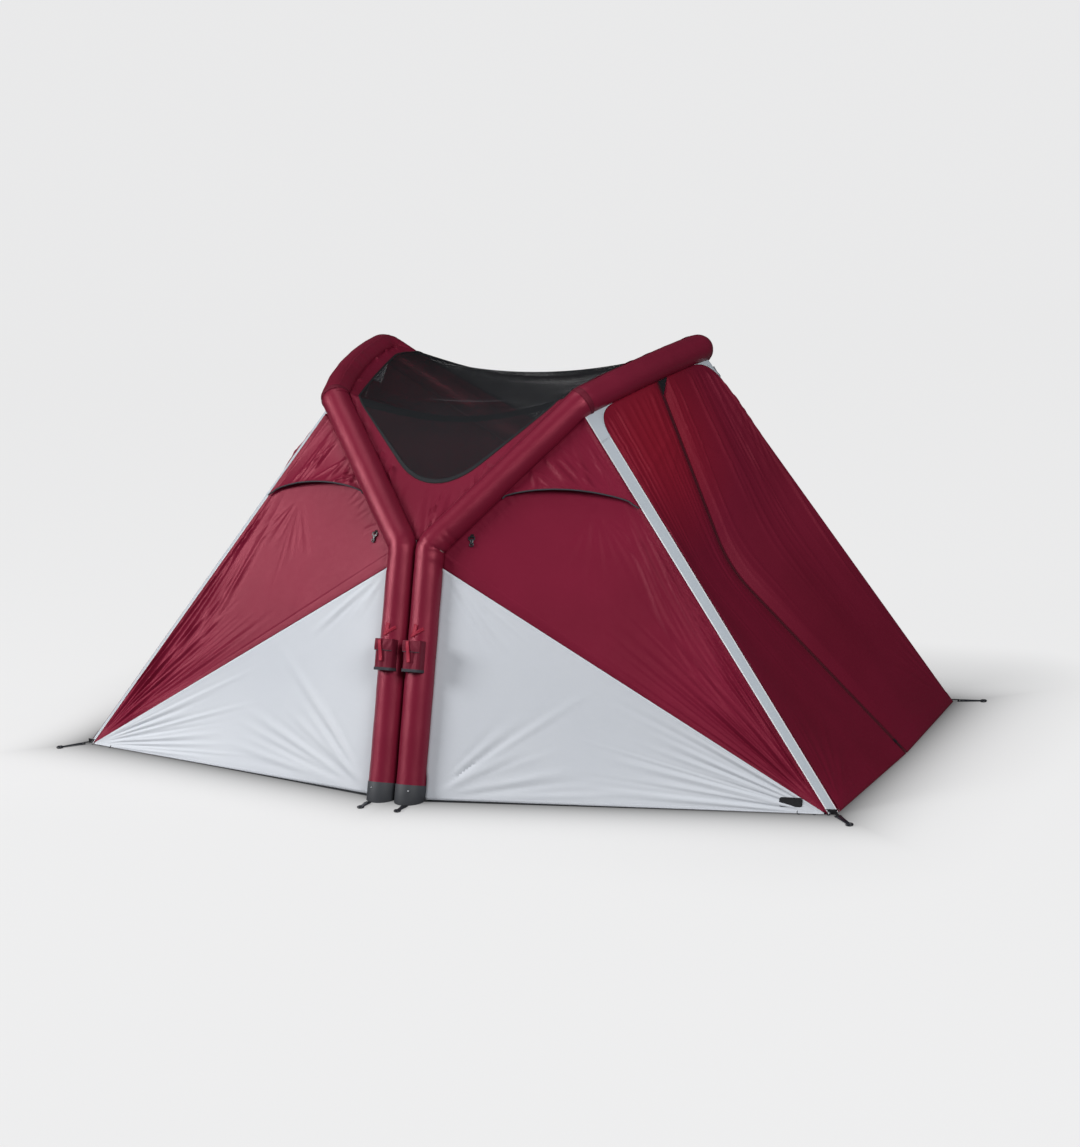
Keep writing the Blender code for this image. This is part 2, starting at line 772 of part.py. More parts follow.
def make_hood(end, side):
    """A vent hood: sewn along the beam and the strap, and lifted at its curved lower edge."""
    wall = WALLS[end]
    first = round(HOOD_START_SHARE * UPPER_RULINGS)
    rows = []
    for i in range(first, UPPER_RULINGS + 1):
        share = i / UPPER_RULINGS
        across = (i - first) / (UPPER_RULINGS - first)
        drop = HOOD_DROP_SHARE * across**HOOD_DROP_POWER
        edge = 1 - drop if i > first else 1 - HOOD_DROP_SHARE / UPPER_RULINGS
        row = []
        for k in range(HOOD_ROWS + 1):
            along = 1 - (1 - edge) * k / HOOD_ROWS
            rise = HOOD_RISE * math.sin(math.pi * across) * (k / HOOD_ROWS) ** 2
            lift = HOOD_STANDOFF + rise
            base = wall.point("upper", share, along, 0, HOOD_OFFSET)
            row.append(base + wall.normal("upper", share) * lift)
        rows.append(row)
    mesh = thick_mesh(grid_mesh(rows), HOOD_SHEET)
    add_object(f"vent_hood_{END_NAMES[end]}_{SIDE_NAMES[side]}", mesh, SHELL, side)


# The corner straps and the doors

def hinge_across():
    return -(STRAP_WIDTH / 2 + HINGE_GAP)


def zip_path():
    """The zip's line in the middle plane, from the beam down to the hem."""
    beam = BEAMS[FRONT]
    knee = Vector((ZIP_KNEE_REACH, 0, ZIP_KNEE_HEIGHT))
    top = beam.beside(beam.middle, knee, SLEEVE_RADIUS + DOOR_TOP_GAP)
    top.y = 0
    bottom = Vector((HEM_REACH, 0, HEM_HEIGHT))
    return Path([top, *fillet(top, knee, bottom, ZIP_KNEE_RADIUS), bottom])


ZIP = zip_path()


def flare_curve(end, across, gap):
    """The curved edge from the strap's side up to the beam, moved outwards by a gap."""
    strap = STRAPS[end]
    beam = strap.beam
    offset = SLEEVE_RADIUS + DOOR_TOP_GAP
    head = strap.below_beam(across, offset)
    foot = head + strap.run * (FLARE_LENGTH + gap)
    tip = beam.beside(beam.shoulder + FLARE_REACH + gap, ZIP.at(ZIP.length), offset)
    pull = head + strap.run * gap
    points = []
    for i in range(FLARE_STEPS + 1):
        t = i / FLARE_STEPS
        points.append(foot * (1 - t) ** 2 + pull * (2 * t * (1 - t)) + tip * t**2)
    return points


def make_strap(end, side):
    """A webbing strap that flares along the beam at its top and ends in a loop for its clip."""
    strap = STRAPS[end]
    half = STRAP_WIDTH / 2
    clearance = SLEEVE_RADIUS + DOOR_TOP_GAP
    flare = flare_curve(end, -half, 0)
    inner_top = strap.below_beam(-half, clearance)
    outer_top = strap.below_beam(half, clearance)
    build = bmesh.new()
    inner = []
    outer = []
    for i in range(FLARE_STEPS + 1):
        share = 1 - i / FLARE_STEPS
        inner.append(build.verts.new(inner_top + strap.run * (FLARE_LENGTH * share)))
        outer.append(build.verts.new(outer_top + strap.run * (FLARE_LENGTH * share)))
    rim = [inner[0], *(build.verts.new(point) for point in flare[1:])]
    for i in range(FLARE_STEPS):
        build.faces.new((outer[i], outer[i + 1], inner[i + 1], inner[i]))
        if i == 0:
            build.faces.new((inner[0], inner[1], rim[1]))
        else:
            build.faces.new((inner[i], inner[i + 1], rim[i + 1], rim[i]))
    low = [build.verts.new(strap.at_height(across, HEM_HEIGHT)) for across in (half, -half)]
    build.faces.new((outer[0], inner[0], low[1], low[0]))
    mesh = thick_mesh(mesh_from(build), STRAP_SHEET)
    if end == BACK:
        lift = STRAP_SHEET / 2 + SEAT_GAP + LOOP_REACH
        mesh = boolean(mesh, loop_mesh(shoulder_clip_frame(end), -1, drop=lift), "UNION")
    mesh = boolean(mesh, corner_loop(end), "UNION")
    add_object(f"corner_strap_{END_NAMES[end]}_{SIDE_NAMES[side]}", mesh, STRAP, side)


def corner_loop(end):
    """The loop at a strap's lower end, which lies level from the strap to the clip's bar."""
    strap = STRAPS[end]
    place = corner_clip_frame(end)
    out = place.to_3x3().col[0]
    start = place.translation + UP * LOOP_RADIUS
    tail = (start - strap.bottom).dot(strap.normal) / out.dot(strap.normal)
    return loop_mesh(place, 1, tail + CORNER_LOOP_BITE)


def door_top(end):
    """The door's upper edge, from the hinge line along the flare and the beam to the zip."""
    strap = STRAPS[end]
    beam = strap.beam
    offset = SLEEVE_RADIUS + DOOR_TOP_GAP
    points = flare_curve(end, hinge_across(), FLARE_GAP)
    start = beam.shoulder + FLARE_REACH + FLARE_GAP
    inner = ZIP.at(0) + Vector((0, end * ZIP_TAPE, 0))
    if end == BACK:
        inner = ZIP.at(GUSSET_DROP) + Vector((0, end * ZIP_TAPE, 0))
    stop = solve(lambda d: end * beam.at(d).y < GUSSET_WIDTH, start, beam.far_shoulder)
    steps = DOOR_COLUMNS - FLARE_STEPS
    for i in range(1, steps):
        points.append(beam.beside(start + (stop - start) * i / (steps - 1), ZIP.at(ZIP.length), offset))
    points.append(inner)
    return points


def make_door(end, side):
    """One flap of an end door: a patch between its four edges, with a flat tape along the zip."""
    strap = STRAPS[end]
    top = door_top(end)
    foot = strap.at_height(hinge_across(), HEM_HEIGHT)
    zip_start = 0 if end == FRONT else GUSSET_DROP
    tape = Vector((0, end * ZIP_TAPE, 0))
    out = (foot - top[0]).cross(ZIP.at(ZIP.length) - top[0]).normalized()
    rows = []
    for r in range(DOOR_ROWS + 1):
        v = r / DOOR_ROWS
        hinge = top[0].lerp(foot, v)
        seam = ZIP.at(zip_start + (ZIP.length - zip_start) * v)
        row = []
        for c in range(DOOR_COLUMNS + 1):
            u = c / DOOR_COLUMNS
            hem = foot.lerp(ZIP.at(ZIP.length) + tape, u)
            point = top[c] * (1 - v) + hem * v + hinge * (1 - u) + (seam + tape) * u
            point -= (top[0] * (1 - u) + top[-1] * u) * (1 - v) + hem * v
            fold = DOOR_FOLD * math.sin(math.tau * DOOR_FOLDS * u) * math.sin(math.pi * v)
            row.append(point + out * fold)
        row.append(seam + Vector((0, end * ZIP_GAP / 2, 0)))
        rows.append(row)
    mesh = thick_mesh(grid_mesh(rows), WALL_SHEET)
    add_object(f"door_{END_NAMES[end]}_{SIDE_NAMES[side]}", mesh, SHELL, side)


def make_gusset(side):
    """The dark triangle that closes the top of the zip below the beam."""
    beam = BEAMS[BACK]
    stop = solve(lambda d: beam.at(d).y < GUSSET_WIDTH - HINGE_GAP, beam.shoulder, beam.middle)
    top, wide = (beam.beside(d, ZIP.at(ZIP.length), SLEEVE_RADIUS) for d in (beam.middle, stop))
    top.y = ZIP_GAP / 2
    low = ZIP.at(GUSSET_DROP - 2 * HINGE_GAP) + Vector((0, ZIP_GAP / 2, 0))
    build = bmesh.new()
    corners = [build.verts.new(point) for point in (top, wide, low)]
    build.faces.new(corners)
    mesh = thick_mesh(mesh_from(build), POUCH_SHEET)
    add_object(f"zip_gusset_{SIDE_NAMES[side]}", mesh, NET, side)


def slider_frame():
    """The zip slider's place near the hem, with its X up the zip and its Z out of the door."""
    point = ZIP.at(ZIP.length - SLIDER_REST)
    up_zip = -ZIP.direction(ZIP.length - SLIDER_REST)
    across = Vector((0, -1, 0))
    out = up_zip.cross(across)
    lift = WALL_SHEET / 2 + SEAT_GAP
    middle = point + across * (ZIP_GAP / 2 + SLIDER_WIDTH / 2) + out * lift
    return frame_matrix(middle, up_zip, across)


def make_slider(side):
    """A zip slider with its pull tab, on the front flap's side of the zip."""
    place = slider_frame()
    half = SLIDER_WIDTH / 2
    middle = place @ Matrix.Translation((0, 0, SLIDER_HEIGHT / 2))
    body = plate_mesh([rectangle((0, -half), (SLIDER_LENGTH, half), half / 3)], SLIDER_HEIGHT, middle)
    pull = plate_mesh([rectangle((-PULL_LENGTH, -half / 2), (SLIDER_LENGTH / 3, half / 2))], PULL_SHEET, middle)
    add_object(f"zip_slider_{SIDE_NAMES[side]}", boolean(body, pull, "UNION"), PLASTIC, side)


# The roof

def roof_edge(distance):
    """The roof's edge beside the right-hand beam."""
    point = BEAMS[FRONT].at(distance)
    inwards = Vector((point.x - CORNER_REACH, point.y, point.z))
    return BEAMS[FRONT].beside(distance, inwards, SLEEVE_RADIUS + DOOR_TOP_GAP)


def roof_distances():
    """The distances along the beam where the roof's rows lie, close together round the shoulders."""
    beam = BEAMS[FRONT]
    start = solve(lambda d: roof_edge(d).x > ROOF_TIP, beam.bend, beam.shoulder)
    stop = solve(lambda d: roof_edge(d).x < ROOF_TIP, beam.far_shoulder, beam.far_bend)
    knots = [mark for mark in beam.marks if start < mark < stop]
    stations = [start, *knots, stop]
    distances = []
    for first, second in zip(stations, stations[1:]):
        steps = ROOF_STRAIGHT_ROWS if second - first > 2 * BEND_RADIUS + TANGENT_STEP else 1
        distances += [first + (second - first) * i / steps for i in range(steps)]
    return distances + [stop]


ROOF_EDGES = [roof_edge(distance) for distance in roof_distances()]
ROOF_REACH = max(edge.x for edge in ROOF_EDGES)


def roof_line(depth):
    """The height of the roof's edge at this depth of the tent."""
    edges = ROOF_EDGES
    for first, second in zip(edges, edges[1:]):
        if depth <= second.y:
            share = max((depth - first.y) / (second.y - first.y), 0)
            return first.z + (second.z - first.z) * share
    return edges[-1].z


def roof_ease(edge):
    """How far the cloth between the beams rounds off the edge's own bend, at its middle."""
    steps = range(-ROOF_EASE_STEPS, ROOF_EASE_STEPS + 1)
    heights = [roof_line(edge.y + ROOF_EASE * k / ROOF_EASE_STEPS) for k in steps]
    return (sum(heights) / len(heights) - edge.z) * min(edge.x / ROOF_EASE_REACH, 1)


def roof_mesh(thickness, layer=0):
    """The saddle between the beams, or a layer that lies on it or hangs below it."""
    inset = abs(layer) * HINGE_GAP
    rows = []
    for edge in ROOF_EDGES:
        sag = ROOF_SAG * (edge.x / ROOF_REACH) ** 2
        ease = roof_ease(edge)
        row = []
        for c in range(ROOF_COLUMNS + 1):
            s = 2 * c / ROOF_COLUMNS - 1
            height = edge.z - sag * (1 - s**2) + ease * (1 - s**2) ** 2
            row.append(Vector((s * (edge.x - inset), edge.y, height)))
        rows.append(row)
    build = bmesh.new()
    build.from_mesh(grid_mesh(rows))
    bmesh.ops.triangulate(build, faces=build.faces, quad_method="FIXED")
    lift = layer * ((ROOF_SHEET + thickness) / 2 + SEAM_GAP)
    for vert in build.verts:
        vert.co += vert.normal * math.copysign(lift, layer * vert.normal.z)
    return thick_mesh(mesh_from(build), thickness)


def prism_mesh(outline):
    """An upright prism through the whole roof."""
    height = 2 * BACK_SHOULDER_HEIGHT
    return plate_mesh([outline], 2 * height)


def window_outline(grow=0):
    """The window's rounded outline seen from above, made wider by this much."""
    inset = SLEEVE_RADIUS + WINDOW_BORDER - grow
    front = Vector((FRONT_SHOULDER_WIDTH / 2 - inset, -FRONT_SHOULDER_REACH + WINDOW_BORDER / 4, 0))
    back = Vector((BACK_SHOULDER_WIDTH / 2 - inset, BACK_SHOULDER_REACH - WINDOW_BORDER / 4, 0))
    front_tip = Vector((0, -BEND_DEPTH / 2 + WINDOW_TIP - 2 * grow, 0))
    back_tip = Vector((0, BEND_DEPTH / 2 - WINDOW_TIP + 2 * grow, 0))
    mirror = Matrix.Diagonal((-1, 1, 1))
    corners = [front_tip, front, back, back_tip, mirror @ back, mirror @ front]
    outline = []
    for i, corner in enumerate(corners):
        after = corners[(i + 1) % len(corners)]
        radius = WINDOW_TIP_RADIUS if corner.x == 0 else WINDOW_CORNER
        outline += fillet(corners[i - 1], corner, after, radius + grow)
    return [(point.x, point.y) for point in outline]


def make_roof():
    border = boolean(roof_mesh(ROOF_SHEET), prism_mesh(window_outline()), "DIFFERENCE")
    add_object("roof_border", border, SHELL)
    net = boolean(roof_mesh(ROOF_SHEET), prism_mesh(window_outline(-SEAM_GAP)), "INTERSECT")
    add_object("roof_net", net, NET)
    outer = prism_mesh(window_outline(BINDING_WIDTH / 2))
    ring = boolean(roof_mesh(BINDING_SHEET, layer=1), outer, "INTERSECT")
    ring = boolean(ring, prism_mesh(window_outline(-BINDING_WIDTH / 2)), "DIFFERENCE")
    add_object("roof_binding", ring, TAPE)


def make_band(end):
    """A webbing band under the roof that ties the two beams together at their shoulders."""
    shoulder = BEAMS[end].at(BEAMS[end].shoulder)
    half = BAND_WIDTH / 2
    reach = BACK_SHOULDER_WIDTH
    low, high = shoulder.y - half, shoulder.y + half
    outline = [(-reach, low), (reach, low), (reach, high), (-reach, high)]
    band = boolean(roof_mesh(BAND_SHEET, layer=-1), prism_mesh(outline), "INTERSECT")
    add_object(f"spreader_band_{END_NAMES[end]}", band, TAPE)


# The groundsheet

def make_groundsheet():
    """The floor, notched round the feet."""
    side = LEG_OFFSET + CAP_RADIUS + SEAT_GAP
    quarter = []
    for end in (FRONT, BACK):
        strap = STRAPS[end]
        corner = strap.at_height(0, HEM_HEIGHT)
        foot = end * (FOOT_DEPTH / 2 - GROUND_SHEET)
        notch = end * (FOOT_DEPTH / 2 - GROUND_NOTCH)
        quarter.append([(side, notch), (side, foot), (corner.x, corner.y)])
    front, back = quarter
    right = front + back[::-1]
    outline = right + [(-x, y) for x, y in right[::-1]]
    mesh = plate_mesh([outline], GROUND_SHEET, Matrix.Translation(UP * (GROUND_SHEET / 2)))
    add_object("groundsheet", mesh, FLOOR)


# The pouches and the valves

def leg_frame(rise=0):
    """X across the leg, Y out of its front face and Z along it, on its axis at the valve."""
    return frame_matrix(valve_centre() + LEG_RUN * rise, Vector((-1, 0, 0)), LEG_FACE)


def make_pouch(side):
    """An open-topped pouch against the leg."""
    place = leg_frame()
    half, wall = POUCH_WIDTH / 2, POUCH_SHEET
    out = SLEEVE_RADIUS + POUCH_DEPTH
    outer = plate_mesh([rectangle((-half, 0), (half, out), POUCH_ROUND)], POUCH_LENGTH, place)
    inside = rectangle((wall - half, -CUT_OVERRUN), (half - wall, out - wall), POUCH_ROUND - wall)
    inner = plate_mesh([inside], POUCH_LENGTH, place @ Matrix.Translation(UP * wall))
    axis = LEG_RUN * POUCH_LENGTH
    leg = post_mesh(CAP_BORE, valve_centre() - axis, valve_centre() + axis)
    pouch = boolean(boolean(outer, inner, "DIFFERENCE"), leg, "DIFFERENCE")
    add_object(f"valve_pouch_{SIDE_NAMES[side]}", pouch, POUCH, side)


def make_flap(side):
    """The pouch's flap: a lid with a lip that hangs over the front."""
    rise = POUCH_LENGTH / 2 + FLAP_GAP
    place = leg_frame(rise)
    half = POUCH_WIDTH / 2
    near = SLEEVE_RADIUS + FLAP_GAP
    far = SLEEVE_RADIUS + POUCH_DEPTH + FLAP_GAP
    rows = []
    for x in (-half, half):
        profile = [(near, POUCH_SHEET / 2), (far, POUCH_SHEET / 2)]
        profile += [(far + POUCH_SHEET, -POUCH_SHEET), (far + POUCH_SHEET, -FLAP_LIP)]
        rows.append([place @ Vector((x, y, z)) for y, z in profile])
    mesh = thick_mesh(grid_mesh(rows), POUCH_SHEET / 2)
    add_object(f"pouch_flap_{SIDE_NAMES[side]}", mesh, POUCH, side)


def valve_frame():
    """The valve's own axes: Z out of the leg's face."""
    return frame_matrix(valve_centre(), Vector((1, 0, 0)), LEG_FACE.cross(Vector((1, 0, 0))))


def make_valve(side):
    """A hollow valve stem with a flange that lies on the sleeve."""
    inside = SLEEVE_RADIUS - VALVE_INSIDE
    seat = SLEEVE_RADIUS + SEAT_GAP
    flange = seat + VALVE_FLANGE_SHEET
    end = SLEEVE_RADIUS + VALVE_OUTSIDE
    profile = [
        (VALVE_BORE, inside), (VALVE_BORE, end), (VALVE_STEM, end), (VALVE_STEM, flange),
        (VALVE_FLANGE, flange), (VALVE_FLANGE, seat), (VALVE_STEM, seat), (VALVE_STEM, inside),
    ]
    add_object(f"valve_{SIDE_NAMES[side]}", turned_mesh(profile, valve_frame()), VALVE, side)


def make_lid(side):
    """The valve's screw lid, with grip grooves round its rim."""
    low = SLEEVE_RADIUS + SEAT_GAP + VALVE_FLANGE_SHEET + LID_GAP
    high = low + LID_HEIGHT
    inner = SLEEVE_RADIUS + VALVE_OUTSIDE + LID_GAP
    place = valve_frame()
    build = bmesh.new()
    rings = []
    sides = 2 * LID_GROOVES
    levels = ((VALVE_STEM + LID_GAP, inner), (VALVE_STEM + LID_GAP, low), (LID_RADIUS, low), (LID_RADIUS, high))
    for radius, z in levels:
        ring = []
        for i in range(sides):
            groove = LID_GROOVE if i % 2 and radius == LID_RADIUS else 0
            angle = math.tau * i / sides
            ring.append(build.verts.new(Vector((
                (radius - groove) * math.cos(angle), (radius - groove) * math.sin(angle), z))))
        rings.append(ring)
    for first, second in zip(rings, rings[1:]):
        for i in range(sides):
            k = (i + 1) % sides
            build.faces.new((first[i], first[k], second[k], second[i]))
    build.faces.new(rings[0])
    build.faces.new(rings[-1])
    bmesh.ops.transform(build, matrix=place, verts=build.verts)
    add_object(f"valve_lid_{SIDE_NAMES[side]}", mesh_from(build), PLASTIC, side)


def make_tent():
    make_groundsheet()
    make_roof()
    for end in (FRONT, BACK):
        make_band(end)
    for side in (RIGHT, LEFT):
        name = SIDE_NAMES[side]
        make_sleeve(side)
        make_bladder(side)
        make_pouch(side)
        make_flap(side)
        make_valve(side)
        make_lid(side)
        make_gusset(side)
        make_slider(side)
        make_clip(f"toggle_{name}", toggle_frame(), TOGGLE_LENGTH, side)
        make_clip(f"shoulder_clip_{name}", shoulder_clip_frame(BACK), SHOULDER_CLIP_LENGTH, side)
        for end in (FRONT, BACK):
            both = f"{END_NAMES[end]}_{name}"
            make_cap(end, side)
            make_wall(end, side, "lower")
            make_wall(end, side, "upper")
            make_hood(end, side)
            make_strap(end, side)
            make_door(end, side)
            make_clip(f"corner_clip_{both}", corner_clip_frame(end), CORNER_CLIP_LENGTH, side)
            make_clip(f"foot_clip_{both}", foot_clip_frame(end), FOOT_CLIP_LENGTH, side)


make_tent()
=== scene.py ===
# %% [markdown]
# # An inflatable tent, dressed in cloth
# Two inflated beams stand side by side at their legs and lean apart at the top.
# They carry a net roof, stretched walls and an end door at each side.
# The solids of the tent are loaded first and stay where they are.
# Every soft solid then gets a sheet of real cloth in its place.

# %% Load the solids and keep their box
import math

import bmesh
import bpy
import numpy as np
from mathutils import Matrix, Vector


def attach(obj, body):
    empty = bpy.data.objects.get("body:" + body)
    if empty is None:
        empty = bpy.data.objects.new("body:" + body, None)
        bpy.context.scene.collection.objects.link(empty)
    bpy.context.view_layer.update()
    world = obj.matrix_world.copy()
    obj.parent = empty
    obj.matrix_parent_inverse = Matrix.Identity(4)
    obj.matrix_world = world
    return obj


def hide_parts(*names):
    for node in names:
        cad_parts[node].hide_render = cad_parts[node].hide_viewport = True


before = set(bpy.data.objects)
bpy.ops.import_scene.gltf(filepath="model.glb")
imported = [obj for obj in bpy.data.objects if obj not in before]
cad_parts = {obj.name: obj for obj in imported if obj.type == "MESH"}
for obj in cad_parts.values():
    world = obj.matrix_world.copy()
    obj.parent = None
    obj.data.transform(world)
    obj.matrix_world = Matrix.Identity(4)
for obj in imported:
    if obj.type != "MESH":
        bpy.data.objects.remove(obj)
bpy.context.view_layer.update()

# %% [markdown]
# The camera stands in front of the tent, a little to its right and above it.
# Its lens is given as the distance in pixels at which the picture was fitted,
# because that number doesn't depend on the size of a sensor.

# %% Place the camera
CAMERA_PLACE = Vector((4.467, -8.759, 2.838))
TURN, RISE, ROLL = (math.radians(angle) for angle in (26.28, 12.39, -3.11))
FOCAL_PIXELS, PICTURE_HEIGHT = 2274, 1147

forward = Vector((-math.sin(TURN) * math.cos(RISE), math.cos(TURN) * math.cos(RISE), -math.sin(RISE)))
level = Vector((math.cos(TURN), math.sin(TURN), 0))
upright = level.cross(forward)
across_view = level * math.cos(ROLL) + upright * math.sin(ROLL)
up_view = upright * math.cos(ROLL) - level * math.sin(ROLL)
camera = bpy.data.objects.new("Camera", bpy.data.cameras.new("Camera"))
view_axes = Matrix((across_view, up_view, -forward)).transposed().to_4x4()
camera.matrix_world = Matrix.Translation(CAMERA_PLACE) @ view_axes
camera.data.lens = FOCAL_PIXELS * camera.data.sensor_width / PICTURE_HEIGHT
bpy.context.scene.collection.objects.link(camera)
bpy.context.scene.camera = camera
print("The lens is", round(camera.data.lens, 1), "mm long")

# %% [markdown]
# Shader maths reads best as plain sums, so a small class wraps a socket.
# Adding or multiplying two wires adds the Math node that does it.
# Every finish below is written with this class and one helper that adds any other node.

# %% Write shader maths as expressions
class Wire:
    """A socket of a node tree that can be used in sums."""

    def __init__(self, tree, socket):
        self.tree, self.socket = tree, socket

    def math(self, operation, *others):
        node = self.tree.nodes.new("ShaderNodeMath")
        node.operation = operation
        for slot, value in zip(node.inputs, (self, *others)):
            plug(self.tree, value, slot)
        return Wire(self.tree, node.outputs[0])

    def __add__(self, other):
        return self.math("ADD", other)

    def __sub__(self, other):
        return self.math("SUBTRACT", other)

    def __mul__(self, other):
        return self.math("MULTIPLY", other)

    def __rsub__(self, other):
        return (self * -1).math("ADD", other)

    def below(self, value):
        return self.math("LESS_THAN", value)

    def above(self, value):
        return self.math("GREATER_THAN", value)

    def wave(self, pitch):
        """From 0 to 1 and back once for each pitch."""
        return (self * (math.tau / pitch)).math("SINE") * 0.5 + 0.5


def plug(tree, value, slot):
    """Links a wire to a slot, or sets a plain value there."""
    if isinstance(value, Wire):
        tree.links.new(value.socket, slot)
    elif isinstance(value, tuple) and len(value) == 3 and slot.type == "RGBA":
        slot.default_value = (*value, 1)
    else:
        slot.default_value = value


class Finish:
    """A material under construction."""

    def __init__(self, name, **fixed):
        self.material = bpy.data.materials.new(name)
        self.material.use_nodes = True
        self.tree = self.material.node_tree
        self.shader = self.tree.nodes["Principled BSDF"]
        for socket, value in fixed.items():
            self.set(socket.replace("_", " "), value)

    def set(self, socket, value):
        plug(self.tree, value, self.shader.inputs[socket])

    def node(self, kind, output=0, settings=None, **values):
        made = self.tree.nodes.new("ShaderNode" + kind)
        for key, value in (settings or {}).items():
            setattr(made, key, value)
        for socket, value in values.items():
            plug(self.tree, value, made.inputs[socket.replace("_", " ")])
        return Wire(self.tree, made.outputs[output])

    def join(self, kind, slots, values, output=0, **settings):
        """A node whose sockets are given by number."""
        made = self.tree.nodes.new("ShaderNode" + kind)
        for key, value in settings.items():
            setattr(made, key, value)
        for slot, value in zip(slots, values):
            plug(self.tree, value, made.inputs[slot])
        return Wire(self.tree, made.outputs[output])

    def mix(self, share, first, second):
        """A mix of two colours."""
        return self.join("Mix", (0, 6, 7), (share, first, second), 2, data_type="RGBA")

    def blend(self, share, first, second):
        """A mix of two shaders."""
        return self.join("MixShader", (0, 1, 2), (share, first, second))

    def away_from(self, spot):
        """The distance from a place."""
        here = self.node("TexCoord", "Object")
        return self.join("VectorMath", (0, 1), (here, spot), "Value", operation="DISTANCE")

    def split(self, vector):
        """The three numbers of a vector."""
        parts = self.tree.nodes.new("ShaderNodeSeparateXYZ")
        plug(self.tree, vector, parts.inputs[0])
        return [Wire(self.tree, output) for output in parts.outputs]

    def noise(self, scale, detail=3, where=None, roughness=0.5):
        place = where or self.node("TexCoord", "Object")
        return self.node("TexNoise", "Fac", Vector=place, Scale=scale, Detail=detail, Roughness=roughness)

    def metres(self, layer):
        """The two numbers of a UV map that is measured in metres."""
        place = self.node("UVMap", 0, {"uv_map": layer})
        return [place, *self.split(place)[:2]]

    def bump(self, height, distance, strength=1.0):
        normal = self.node("Bump", 0, None, Height=height, Distance=distance, Strength=strength)
        self.set("Normal", normal)


print("The shader helpers are ready")

# %% [markdown]
# Two large soft lamps at the front left and the front right draw the folds.
# A weak one lights the roof.
# The floor and the wall behind it are one curved sheet, so no horizon shows.
# Far from the tent it mostly shines by itself, which keeps it pale and even.
# Close to the tent it is mostly lit, and a soft contact shadow is painted on it towards the hem.
# A weak lamp inside stands for the light that passes through the cloth.

# %% Build the studio
FLOOR_COLOR, BOUNCE_COLOR, PAINTED_SHADOW_COLOR = (0.8, 0.8, 0.8), (0.16, 0.16, 0.16), (0.02, 0.02, 0.021)
FLOOR_GLOW, GLOW_BLUE, GLOW_EASE = 0.855, 1.005, 0.4
TENT_HALF, SHADOW_REACH, NEAR_SHARE, FAR_SHARE = (1.75, 1.12), 0.7, 0.45, 0.98
FOOT_REACH, SIDE_REACH, HEM_SLOPE = 1.14, 1.77, 0.183
SHADE_REACH, SHADE_POWER, SHADE_DEPTH = 0.5, 3.2, 0.78
STUDIO_HALF, SWEEP_START, SWEEP_RADIUS, SWEEP_TOP = 70, 14, 6, 40
AIR_COLOR, AIR_STRENGTH, TENT_MIDDLE = (0.93, 0.96, 1, 1), 0.22, (0, 0, 0.8)


def mix_of_glow(name):
    """A pale surface, lit near the tent and glowing far from it, with a painted contact shadow towards the
    hem, and dull where the camera doesn't look.
    """
    finish = Finish(name)
    tree = finish.tree
    x, y, z = finish.split(finish.node("TexCoord", "Object"))
    across, along = x * math.cos(TURN) - y * math.sin(TURN), x * math.sin(TURN) + y * math.cos(TURN)
    sides = []
    for side, half in zip((across, along), TENT_HALF):
        sides.append(side.math("ABSOLUTE").math("SUBTRACT", half).math("MAXIMUM", 0.0))
    away = (sides[0] * sides[0] + sides[1] * sides[1] + z * z).math("SQRT") * (1 / SHADOW_REACH)
    share = away.math("MINIMUM", 1.0).math("SMOOTH_MIN", 1.0, GLOW_EASE)
    share = share * (FAR_SHARE - NEAR_SHARE) + NEAR_SHARE
    paints = []
    for color in (FLOOR_COLOR, BOUNCE_COLOR):
        paint = tree.nodes.new("ShaderNodeBsdfDiffuse")
        paint.inputs["Color"].default_value = (*color, 1)
        paints.append(Wire(tree, paint.outputs[0]))
    glow = finish.node("Emission", 0, None, Color=(FLOOR_GLOW, FLOOR_GLOW, FLOOR_GLOW * GLOW_BLUE))
    # Painted contact shadow: a near-black glow is mixed in more and more towards the tent's hem.
    off = along.math("ABSOLUTE") + across.math("ABSOLUTE") * HEM_SLOPE - FOOT_REACH
    off = off.math("MAXIMUM", across.math("ABSOLUTE") - SIDE_REACH).math("MAXIMUM", z)
    close = (1.0 - off.math("MAXIMUM", 0.0) * (1 / SHADE_REACH)).math("MAXIMUM", 0.0)
    black = finish.node("Emission", 0, None, Color=PAINTED_SHADOW_COLOR)
    painted_shadow_share, paper = close.math("POWER", SHADE_POWER) * SHADE_DEPTH, finish.blend(share, paints[0], glow)
    seen = finish.blend(painted_shadow_share, paper, black)
    camera_ray = finish.node("LightPath", "Is Camera Ray")
    tree.links.new(finish.blend(camera_ray, paints[1], seen).socket, tree.nodes["Material Output"].inputs[0])
    tree.nodes.remove(finish.shader)
    return finish.material


def area_lamp(name, place, target, size, power, color=(1, 1, 1)):
    """A square lamp that shines from its place towards a target."""
    data = bpy.data.lights.new(name, "AREA")
    data.size, data.energy, data.color = size, power, color
    lamp = bpy.data.objects.new(name, data)
    lamp.location = place
    lamp.rotation_euler = (Vector(target) - Vector(place)).to_track_quat("-Z", "Y").to_euler()
    bpy.context.scene.collection.objects.link(lamp)
    return lamp


